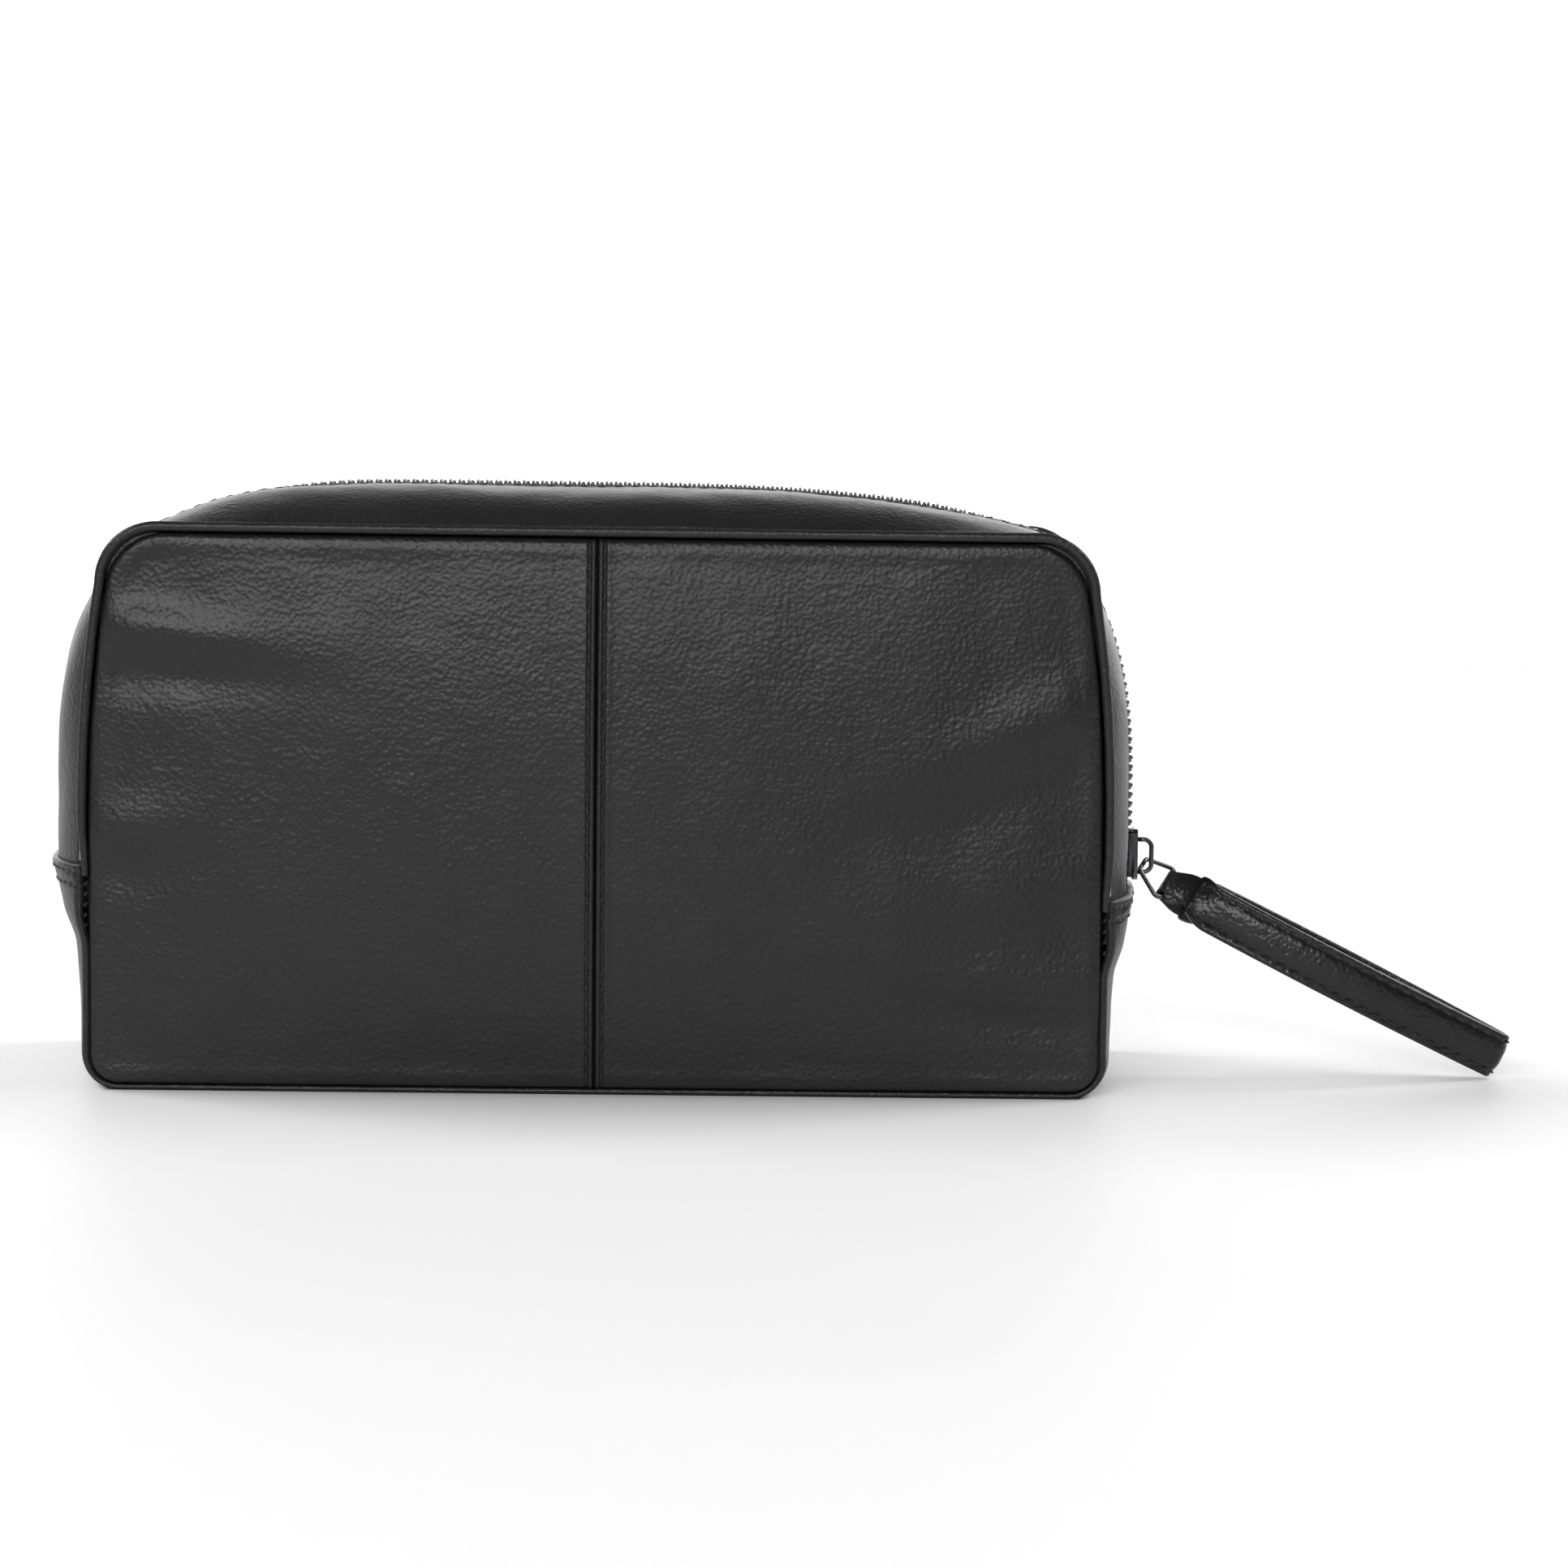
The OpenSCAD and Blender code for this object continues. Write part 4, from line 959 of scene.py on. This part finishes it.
class BAG_OT_lower_gusset(bpy.types.Operator):
    """Make the strip under the base and up both ends, and sew its two tabs"""

    bl_idname = "makeup_bag.lower_gusset"
    bl_label = "Lower gusset"

    def execute(self, context):
        b, s = settings().bag, settings().stitch
        marks = seam_marks()[0]
        right = steps(0, right_at(b.tab_right) - 8 * MM, 1.1 * MM)
        tab = steps(right[-1] + 0.3 * MM, right_at(b.tab_right), 0.28 * MM)
        rise_left = left_at(b.tab_left)
        tab_left = steps(rise_left, rise_left + 8 * MM, 0.28 * MM)
        left = steps(tab_left[-1] + 1 * MM, marks[-1], 1.1 * MM)
        rim_steps = np.array([0.9, 0.6, 0.35, 0.15, 0.05]) * MM
        half = np.concatenate([[0], np.arange(1.5, 41, 1.3) * MM, b.depth / 2 - rim_steps])
        y = np.sort(np.concatenate([-half[1:], half]))[None, :]
        t = np.concatenate([tab_left, left[:-1], right + marks[-1], tab + marks[-1]])
        inside = (t % marks[-1])[:, None]
        off = lower_off(inside, y)
        outer, inner = shell(inside, y, off), shell(inside, y, off - b.leather)
        outer[..., 2] = np.maximum(outer[..., 2], 0)
        _, below = tab_crest(inside, y)
        rim = b.depth / 2 - np.abs(y)
        worn = 0.7 * hump(below - 0.6 * MM, 0.8 * MM) + 0.4 * hump(rim - 0.8 * MM, 0.8 * MM)
        piece = sheet_piece("lower_gusset_leather", outer, inner, attributes={"worn": worn})
        dress(piece, "bag", "leather", "lower_gusset")
        y = steps(-b.depth / 2 + 1.6 * MM, b.depth / 2 - 1.6 * MM, 1 * MM)
        for word, at, sign in (("right", right_at(b.tab_right), -1), ("left", left_at(b.tab_left), 1)):
            for k, drop in enumerate((2.0 * MM, 5.4 * MM)):
                row = np.full(len(y), at + sign * drop)
                line, up = on_shell(row, y, lower_off(row, y))
                thread = stitch_line(f"tab_thread_{word}_{k + 1}", line, up, s.tab_pitch, 0.14)
                hand_over(thread, "bag", "leather")
        for word, side in (("front", -1), ("back", 1)):
            for name, low, high in (("right", right_at(8 * MM), right_at(b.tab_right - 1 * MM)),
                                    ("left", left_at(b.tab_left - 1 * MM), left_at(8 * MM))):
                row = steps(low, high, 1 * MM)
                p, n, _ = seam(row)
                up = np.stack([n[:, 0] * 0.3, np.full(len(row), side * 1.0), n[:, 1] * 0.3], -1)
                x, z = (p - n * 0.7 * MM).T
                line = leaned(x, side * (b.depth / 2 - 0.5 * MM), z)
                thread = stitch_line(f"edge_thread_{word}_{name}", line, up, 2.6 * MM, 0.5, 0.5)
                hand_over(thread, "bag", "leather")
        return {"FINISHED"}


# ---------------------------------------------------------------- zip


def zip_off(t):
    """Distance of the zip's middle outside the leather: it lifts along the slider's run and is pushed up a
    little by the swollen top."""
    zp = settings().zip
    marks, arc_z = seam_marks()[:2]
    z = settings().bag.corner_bottom + t - marks[1]
    up = mix(zp.lift, -zp.sink, ease((z - run_top()) / (arc_z - run_top())))
    top = 0.9 * MM * ease((t - marks[3]) / (30 * MM)) * ease((marks[4] - 20 * MM - t) / (30 * MM))
    return np.where(t < marks[2], up, -zp.sink) + top


def zip_line():
    """Fine middle line of the zip from inside the slider to the left tab, as points and the distance run."""
    b = settings().bag
    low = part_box("slider_body")[0].z
    t = steps(right_at(low), left_at(b.tab_left + 2 * MM), 0.4 * MM)
    line = shell(t, np.zeros(len(t)), zip_off(t))
    run = np.concatenate([[0], np.cumsum(np.linalg.norm(np.diff(line, axis=0), axis=1))])
    return line, run


def make_tape(side, word):
    b, zp = settings().bag, settings().zip
    t = steps(right_at(b.tab_right - b.tab_overlap), left_at(b.tab_left - b.tab_overlap), 1.2 * MM)[:, None]
    under = -b.leather - 0.1 * MM - zp.tape / 2
    y = np.concatenate([steps(0.35 * MM, 4.3 * MM, 0.25 * MM), steps(4.45 * MM, b.lip, 0.15 * MM),
                        steps(6 * MM, zp.tape_edge, 1 * MM)])[None, :]
    down = ease((y - 4.3 * MM) / (b.lip - 4.3 * MM))
    bead = 0.28 * MM * hump(y - 0.7 * MM, 0.45 * MM)
    middle = mix(zip_off(t), under, down)
    outer = shell(t, side * y, middle + zp.tape / 2 + bead)
    inner = shell(t, side * y, middle - zp.tape / 2 - bead)
    uv = np.stack(np.broadcast_arrays(t, y), -1)
    piece = sheet_piece(f"zip_tape_{word}_woven", outer, inner, uv=uv)
    return dress(piece, "bag", "zip_tape", f"zip_tape_{word}")


def tooth_shape():
    """One cast tooth in its own axes, along the zip, across it and out of it, each from -1 to 1: five boxy
    rings whose size closes towards both ends and narrows at the head, with a hollow in the top behind the head
    and a cap on each end."""
    cols = 8
    across = np.array([-1.0, -0.8, 0.3, 0.75, 1.0])[:, None]
    ring = np.array([0.7, 1.0, 1.0, 0.95, 0.6])[:, None]
    u = (np.arange(cols) + 0.5)[None, :] * 2 * pi / cols
    boxy = lambda w: np.sign(w) * np.abs(w) ** 0.45
    head = ease((across - 0.1) / 0.9)
    lie = ring * boxy(np.cos(u)) * mix(1, 0.72, head)
    out = ring * boxy(np.sin(u)) * (1 - 0.2 * head - 0.3 * hump(across - 0.3, 0.22))
    faces = np.concatenate([grid_faces(len(across), cols, closed=True), ring_caps(len(across), cols)])
    return np.stack([lie, across + 0 * u, out], -1), faces


def make_teeth(side, word):
    """A row of teeth, each shape carried to its place along the zip. The two rows are half a pitch apart; they
    mesh over the top and stand apart along the slider's run."""
    zp = settings().zip
    line, run = zip_line()
    first = (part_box("slider_body")[1].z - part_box("slider_body")[0].z) / 2
    count = int((run[-1] - first - zp.pitch) / zp.pitch)
    at = first + zp.pitch * (np.arange(count) + (0.5 if side > 0 else 0))
    place = np.stack([np.interp(at, run, line[:, i]) for i in range(3)], -1)
    ahead = along(line)
    ahead = unit(np.stack([np.interp(at, run, ahead[:, i]) for i in range(3)], -1))
    across = np.broadcast_to([0.0, -side * 1.0, 0.0], place.shape)
    out = np.cross(across, ahead) * side * -1
    shape, faces = tooth_shape()
    tip = np.where(place[:, 2:] < run_top(), -zp.parting, zp.mesh)
    half_reach = (zp.reach + tip) / 2
    centre = place - across * (zp.reach - half_reach)
    s = shape.reshape(-1, 3)
    lie = ahead[:, None] * s[None, :, :1] * zp.tooth / 2
    reach = across[:, None] * s[None, :, 1:2] * half_reach[:, None]
    points = centre[:, None] + lie + reach + out[:, None] * s[None, :, 2:] * zp.tooth_height / 2
    all_faces = (faces[None] + (np.arange(count) * len(s))[:, None, None]).reshape(-1, 4)
    worn = np.broadcast_to(hump(shape[..., 2].ravel() - 0.8, 0.35) * 0.5, (count, len(s)))
    piece = add_mesh(f"zip_teeth_{word}_cast", points, all_faces, {"worn": worn})
    return dress(piece, "bag", "gunmetal", f"zip_teeth_{word}")


class BAG_OT_zip(bpy.types.Operator):
    """Weave the tapes, cast the teeth and clamp the end stops"""

    bl_idname = "makeup_bag.zip"
    bl_label = "Zip"

    def execute(self, context):
        for word, side in (("front", -1), ("back", 1)):
            make_tape(side, word)
            make_teeth(side, word)
        for node in ("zip_top_stops", "zip_bottom_stop"):
            dress(worked_copy(node, 0.3 * MM), "bag", "gunmetal", node)
        return {"FINISHED"}


# ---------------------------------------------------------------- slider, bail and ring


def worked_copy(node, bevel):
    """A piece with a frame node's shape: its loose triangles merged, flat faces joined, and edges rounded."""
    piece = bpy.data.objects.new(node + "_cast", frame["nodes"][node].data.copy())
    bpy.context.scene.collection.objects.link(piece)
    work = bmesh.new()
    work.from_mesh(piece.data)
    bmesh.ops.remove_doubles(work, verts=work.verts, dist=1e-6)
    bmesh.ops.dissolve_limit(work, angle_limit=radians(1), verts=work.verts, edges=work.edges)
    work.to_mesh(piece.data)
    work.free()
    piece.data.polygons.foreach_set("use_smooth", np.full(len(piece.data.polygons), True))
    rounding = piece.modifiers.new("rounding", "BEVEL")
    rounding.width = bevel
    rounding.segments = 3
    rounding.limit_method = "ANGLE"
    rounding.angle_limit = radians(35)
    rounding.harden_normals = True
    return piece


class BAG_OT_slider(bpy.types.Operator):
    """Cast the slider, its bail and its lock"""

    bl_idname = "makeup_bag.slider"
    bl_label = "Slider"

    def execute(self, context):
        dress(worked_copy("slider_body", 0.28 * MM), "slider", "gunmetal", "slider_body")
        dress(worked_copy("slider_lock", 0.1 * MM), "slider", "gunmetal", "slider_lock")
        low, high = (np.array(c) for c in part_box("slider_bail"))
        bar = 1.2 * MM
        r = (high[0] - low[0]) / 2
        top, foot = high[2] - bar / 2, low[2] + bar / 2
        bend = r - bar / 2 + 0.5 * MM
        a = np.linspace(0, pi / 2, 12)
        x_out = high[0] - bar / 2
        lower = np.stack([x_out - bend + bend * np.sin(a), foot + bend - bend * np.cos(a)], -1)
        upper = np.stack([x_out - bend + bend * np.cos(a), top - bend + bend * np.sin(a)], -1)
        start, end = np.array([[low[0] - 0.3 * MM, foot]]), np.array([[low[0] - 0.3 * MM, top]])
        path = np.concatenate([start, lower, upper, end])
        centre = np.stack([path[:, 0], np.zeros(len(path)), path[:, 1]], -1)
        ahead = along(centre)
        width = np.broadcast_to([0.0, 1.0, 0.0], centre.shape)
        rings = swept(centre, width, np.cross(ahead, width), (high[1] - low[1]) / 2, bar / 2, 20, 2.8)
        piece = tube_piece("slider_bail_cast", rings)
        dress(piece, "slider", "gunmetal", "slider_bail")
        return {"FINISHED"}


def joint(name):
    """Place and unit axis of a joint."""
    j = next(j for j in frame["joints"] if j["name"] == name)
    return np.array(j["pos_m"]), unit(np.array(j["axis"], float))


def ring_axes():
    """The ring's middle at the bail, its bar's place, its direction towards the strap and its bar's direction."""
    at, bar = joint("ring_swing")
    far, _ = joint("strap_swing")
    return at, far, unit(far - at), bar


class BAG_OT_ring(bpy.types.Operator):
    """Bend the wire pull ring"""

    bl_idname = "makeup_bag.ring"
    bl_label = "Pull ring"

    def execute(self, context):
        zp = settings().zip
        at, far, ahead, bar = ring_axes()
        size = np.linalg.norm(far - at)
        bend = zp.ring_bend
        slope = np.arctan2(zp.ring_long - zp.ring_short, size)
        short_y = zp.ring_short - bend * np.tan((pi / 2 - slope) / 2)
        long_y = zp.ring_long - bend * np.tan((pi / 2 + slope) / 2)
        far_turn = np.linspace(0, pi / 2 + slope, 14)
        near_turn = np.linspace(pi / 2 + slope, pi, 10)
        half = np.concatenate([
            np.stack([size - bend + bend * np.cos(far_turn), long_y + bend * np.sin(far_turn)], -1),
            np.stack([bend + bend * np.cos(near_turn), short_y + bend * np.sin(near_turn)], -1)])
        path = np.concatenate([half, half[::-1] * [1, -1]])
        centre = at + path[:, :1] * ahead + path[:, 1:] * bar
        line = along(centre, closed=True)
        normal = np.broadcast_to(np.cross(ahead, bar), centre.shape)
        rings = swept(centre, np.cross(line, normal), normal, zp.ring_wire, zp.ring_wire, 18)
        worn = np.repeat(0.25 + 0.25 * ripple(path[:, 0], path[:, 1], 61, 0.01), 18)
        piece = tube_piece("pull_ring_wire", rings, closed=True, attributes={"worn": worn})
        dress(piece, "ring", "gunmetal", "pull_ring")
        return {"FINISHED"}


# ---------------------------------------------------------------- wrist strap


def strap_axes():
    """The ring's bar and its direction, then the strap's direction down to the table, its upright across, its
    twist at the ring and its slant there. It drops by the angle at which its lowest far corner meets the table."""
    st = settings().strap
    _, bar, _, bar_dir = ring_axes()
    reach = st.length + st.end + 1.6 * MM
    span = np.hypot(reach, st.width / 2)
    drop = np.arcsin(bar[2] / span) - np.arctan2(st.width / 2, reach)
    ahead = np.array([np.cos(drop), 0, -np.sin(drop)])
    up = np.array([np.sin(drop), 0, np.cos(drop)])
    return bar, bar_dir, ahead, up, np.arctan2(bar_dir[1], bar_dir @ up), bar_dir @ ahead


def strap_frame(s):
    """Across and outward directions of the strap at distances s: both turn about its length by a twist that
    eases out, and across keeps the bar's slant near the ring."""
    st = settings().strap
    _, _, ahead, up, twist, slant = strap_axes()
    left = 1 - ease(s / st.twist_length)
    c, sn = np.cos(twist * left)[:, None], np.sin(twist * left)[:, None]
    depth = np.array([0.0, 1.0, 0.0])
    return c * up + sn * depth + slant * left[:, None] * ahead, c * depth - sn * up


def loop_gap(s):
    """Half the gap between the legs' middles: sin^0.9 along the strap on top of the gap at its ends."""
    st = settings().strap
    bow = np.sin(pi * np.clip(s / st.length, 0, 1))
    return st.end + (st.opening - st.end) * np.maximum(bow, 0) ** 0.9


def strap_line(first):
    """Middle line of the strap: front leg, far fold and back leg, with its directions across and outwards."""
    st = settings().strap
    bar, _, ahead, up, _, _ = strap_axes()
    s = steps(first, st.length, 0.8 * MM)
    across, normal = strap_frame(s)
    gap = loop_gap(s)[:, None]
    a = np.linspace(0, pi, 11)[1:-1]
    turn = np.stack([np.sin(a), -np.cos(a)], -1)
    out = turn[:, :1] * ahead + turn[:, 1:] * np.array([0, 1.0, 0])
    fold_line = bar + ahead * st.length + out * st.end
    line = np.concatenate([bar + ahead * s[:, None] - normal * gap, fold_line,
                           (bar + ahead * s[:, None] + normal * gap)[::-1]])
    ups = np.broadcast_to(up, fold_line.shape)
    return line, np.concatenate([across, ups, across[::-1]]), np.concatenate([-normal, out, normal[::-1]])


def strap_half_thickness(w, ends, side):
    """Half thickness at a distance w from the middle line: thin edges, a padded middle that bulges as a flat
    cosine, stitch lines pulled in, and both pressed thin at the strap's ends."""
    st = settings().strap
    inside = np.clip(np.abs(w) / (st.row - 0.3 * MM), 0, 1)
    pad = (st.middle - st.edge) * np.maximum(0, 1 - inside**3) * ends
    line = 0.16 * MM * hump(np.abs(w) - st.row, 0.4 * MM)
    rim = rolled(st.width / 2 - np.abs(w), st.edge) * 0.9
    return st.edge + pad * side + 0.15 * MM * ends - line - rim


class BAG_OT_strap(bpy.types.Operator):
    """Fold, pad and sew the wrist strap"""

    bl_idname = "makeup_bag.strap"
    bl_label = "Wrist strap"

    def execute(self, context):
        st, sew = settings().strap, settings().stitch
        line, across, out = strap_line(st.start)
        run = np.concatenate([[0], np.cumsum(np.linalg.norm(np.diff(line, axis=0), axis=1))])
        left = np.minimum(run, run[-1] - run)
        ends = ease((left - 1.5 * MM) / (6 * MM))[:, None]
        round_end = mix(0.7, 1, np.sqrt(1 - (1 - np.minimum(left / (5 * MM), 1)) ** 2))[:, None]
        w = st.width / 2 * round_end * np.sin(np.linspace(-pi / 2, pi / 2, 41))[None, :]
        tip = rolled(left, 1.2 * MM)[:, None]
        uneven = 0.05 * MM * ripple(run[:, None], w * 2, 71, 0.014)
        pinch = 0.05 * MM * np.sin(run / sew.strap_pitch * 2 * pi)[:, None] * hump(np.abs(w) - st.row, 1.2 * MM)
        top = strap_half_thickness(w, ends, 1.15) + uneven + pinch - tip * 0.6
        under = strap_half_thickness(w, ends, 0.6) - tip * 0.6
        base = line[:, None] + across[:, None] * w[..., None]
        outer = base + out[:, None] * top[..., None]
        inner = base - out[:, None] * under[..., None]
        worn = 0.8 * hump(st.width / 2 - np.abs(w), 0.7 * MM)
        piece = sheet_piece("wrist_strap_leather", outer, inner, attributes={"worn": worn})
        dress(piece, "strap", "strap_leather", "strap_outer", "strap_inner", "strap_filler")
        self.sew(line, across, out, left, sew)
        self.tongue()
        return {"FINISHED"}

    def sew(self, line, across, out, left, sew):
        """Rows along both edges of the outer face, joined by a row across each end."""
        st = settings().strap
        keep = left > 2.4 * MM
        height = st.edge + 0.1 * MM
        for word, sign in (("upper", 1), ("lower", -1)):
            row = (line + across * sign * st.row + out * height)[keep]
            piece = stitch_line(f"strap_thread_{word}", row, out[keep], sew.strap_pitch, 0.1 * sign)
            hand_over(piece, "strap", "strap_leather")
        for word, index in (("front", np.argmax(keep)), ("back", len(keep) - 1 - np.argmax(keep[::-1]))):
            w = np.linspace(-st.row, st.row, 30)[:, None]
            bow = np.sqrt(np.clip(1 - (w / st.row) ** 2, 0, 1)) * 1.2 * MM
            ahead = along(line)[index] * (-1 if word == "front" else 1)
            row = line[index] + across[index] * w + out[index] * height + ahead * bow
            piece = stitch_line(f"strap_end_thread_{word}", row, np.broadcast_to(out[index], row.shape), 3 * MM)
            hand_over(piece, "strap", "strap_leather")

    def tongue(self):
        """The tongue comes out of the front leg, turns half round the ring's bar and goes into the back leg."""
        st, zp = settings().strap, settings().zip
        bar, bar_dir, ahead, _, _, slant = strap_axes()
        thick = 0.4 * MM
        turn_r = zp.ring_wire + 0.3 * MM + thick
        s = steps(st.start + 5 * MM, 3.5 * MM, 0.5 * MM)
        across, normal = strap_frame(s)
        away = unit(ahead - slant * bar_dir)
        front = np.cross(away, bar_dir)
        front = front * (-1 if front @ strap_frame(np.zeros(1))[1][0] > 0 else 1)
        a = np.linspace(0, pi, 19)[:, None]
        out = front * np.cos(a) - away * np.sin(a)
        leg = bar + ahead * s[:, None]
        gap = loop_gap(s)[:, None]
        line = np.concatenate([leg - normal * gap, bar + out * turn_r, (leg + normal * gap)[::-1]])
        wide = np.concatenate([across, np.broadcast_to(bar_dir, out.shape), across[::-1]])
        outs = np.concatenate([-normal, out, normal[::-1]])
        w = st.tongue / 2 * np.sin(np.linspace(-pi / 2, pi / 2, 21))[None, :]
        half = thick - rolled(st.tongue / 2 - np.abs(w), thick) * 0.8
        base = line[:, None] + wide[:, None] * w[..., None]
        swell = outs[:, None] * half[..., None]
        worn = 0.5 * hump(st.tongue / 2 - np.abs(w), 0.6 * MM) + 0 * base[..., 0]
        piece = sheet_piece("strap_tongue_leather", base + swell, base - swell, attributes={"worn": worn})
        dress(piece, "strap", "strap_leather", "strap_tongue")


# ---------------------------------------------------------------- inner pieces and stage


class BAG_OT_inside(bpy.types.Operator):
    """Give the hidden inner pieces their cloth, foam and board"""

    bl_idname = "makeup_bag.inside"
    bl_label = "Inner pieces"

    def execute(self, context):
        finishes = {row["node"]: row["material_slot"] for row in frame["record"]["subparts"]}
        for node, piece in frame["nodes"].items():
            if not piece.hide_render:
                paint(piece, finishes[node])
        return {"FINISHED"}


def area_light(name, place, target, size, power):
    """A rectangular lamp at a place, turned towards a target."""
    data = bpy.data.lights.new(name, "AREA")
    data.shape = "RECTANGLE"
    data.size, data.size_y = size
    data.energy = power
    lamp = bpy.data.objects.new(name, data)
    lamp.location = place
    away = np.array(place) - np.array(target)
    lamp.rotation_euler = (np.arctan2(np.hypot(away[0], away[1]), away[2]), 0, np.arctan2(away[0], -away[1]))
    bpy.context.scene.collection.objects.link(lamp)


class BAG_OT_stage(bpy.types.Operator):
    """Lay the floor, hang the soft lamps and set the camera"""

    bl_idname = "makeup_bag.stage"
    bl_label = "Stage"

    def execute(self, context):
        back, radius = 2.2, 0.9
        flat, bend = steps(-3, back, 0.4), np.linspace(0.1, pi / 2, 12)
        run = np.concatenate([flat, back + radius * np.sin(bend), [back + radius]])
        rise = np.concatenate([np.zeros(len(flat)), radius * (1 - np.cos(bend)), [4]])
        x = np.linspace(-4, 4, 9)[None, :]
        points = np.stack(np.broadcast_arrays(x, run[:, None], rise[:, None]), -1)
        floor = add_mesh("floor", points, grid_faces(len(run), 9))
        paint(floor, "floor")
        world = bpy.data.worlds.new("studio")
        world.use_nodes = True
        world.node_tree.nodes["Background"].inputs["Color"].default_value = (1, 1, 1, 1)
        world.node_tree.nodes["Background"].inputs["Strength"].default_value = 0.1
        bpy.context.scene.world = world
        area_light("left", (-1.3, 0.3, 1.2), (-0.1, 0.1, 0), (1.0, 0.8), 19)
        area_light("right", (1.4, 0.3, 1.2), (0.1, 0.1, 0), (1.0, 0.8), 19)
        area_light("backdrop", (0, 1.9, 0.9), (0, 2.9, 0.1), (4, 0.3), 85)
        area_light("front", (-0.35, -2.0, 0.9), (0, 0, 0.1), (1.3, 0.3), 26)
        camera = bpy.data.cameras.new("camera")
        camera.lens = 147
        camera.sensor_width = 36
        eye = bpy.data.objects.new("camera", camera)
        eye.location = (0.047, -1.633, 0.2547)
        turn = Matrix.Rotation(radians(83.7), 3, "X") @ Matrix.Rotation(radians(0.6), 3, "Z")
        eye.rotation_euler = turn.to_euler()
        bpy.context.scene.collection.objects.link(eye)
        bpy.context.scene.camera = eye
        bpy.context.scene.view_settings.view_transform = "Standard"
        return {"FINISHED"}


# ---------------------------------------------------------------- add-on


OPERATORS = (BAG_OT_stage, BAG_OT_panels, BAG_OT_seam_stitches, BAG_OT_piping, BAG_OT_zip_gusset,
             BAG_OT_lower_gusset, BAG_OT_zip, BAG_OT_slider, BAG_OT_ring, BAG_OT_strap, BAG_OT_inside)


class BAG_PT_sidebar(bpy.types.Panel):
    """Lists the bag's sizes, colours and pieces"""

    bl_label = "Makeup Bag"
    bl_idname = "BAG_PT_sidebar"
    bl_space_type = "VIEW_3D"
    bl_region_type = "UI"
    bl_category = "Makeup Bag"

    def draw(self, context):
        for group in (settings().bag, settings().zip, settings().strap, settings().stitch, settings().colour):
            box = self.layout.box()
            for key in group.bl_rna.properties.keys():
                if key not in {"rna_type", "name"}:
                    box.prop(group, key)
        for operator in OPERATORS:
            self.layout.operator(operator.bl_idname)


CLASSES = (BagSizes, ZipSizes, StrapSizes, StitchSizes, Colours, MakeupBag, *OPERATORS, BAG_PT_sidebar)


def register():
    for cls in CLASSES:
        bpy.utils.register_class(cls)
    bpy.types.Scene.makeup_bag = PointerProperty(type=MakeupBag)


def unregister():
    del bpy.types.Scene.makeup_bag
    for cls in reversed(CLASSES):
        bpy.utils.unregister_class(cls)


def main():
    register()
    bpy.ops.makeup_bag.stage()
    bpy.ops.makeup_bag.panels()
    bpy.ops.makeup_bag.seam_stitches()
    bpy.ops.makeup_bag.piping()
    bpy.ops.makeup_bag.zip_gusset()
    bpy.ops.makeup_bag.lower_gusset()
    bpy.ops.makeup_bag.zip()
    bpy.ops.makeup_bag.slider()
    bpy.ops.makeup_bag.ring()
    bpy.ops.makeup_bag.strap()
    bpy.ops.makeup_bag.inside()


if __name__ == "__main__":
    main()
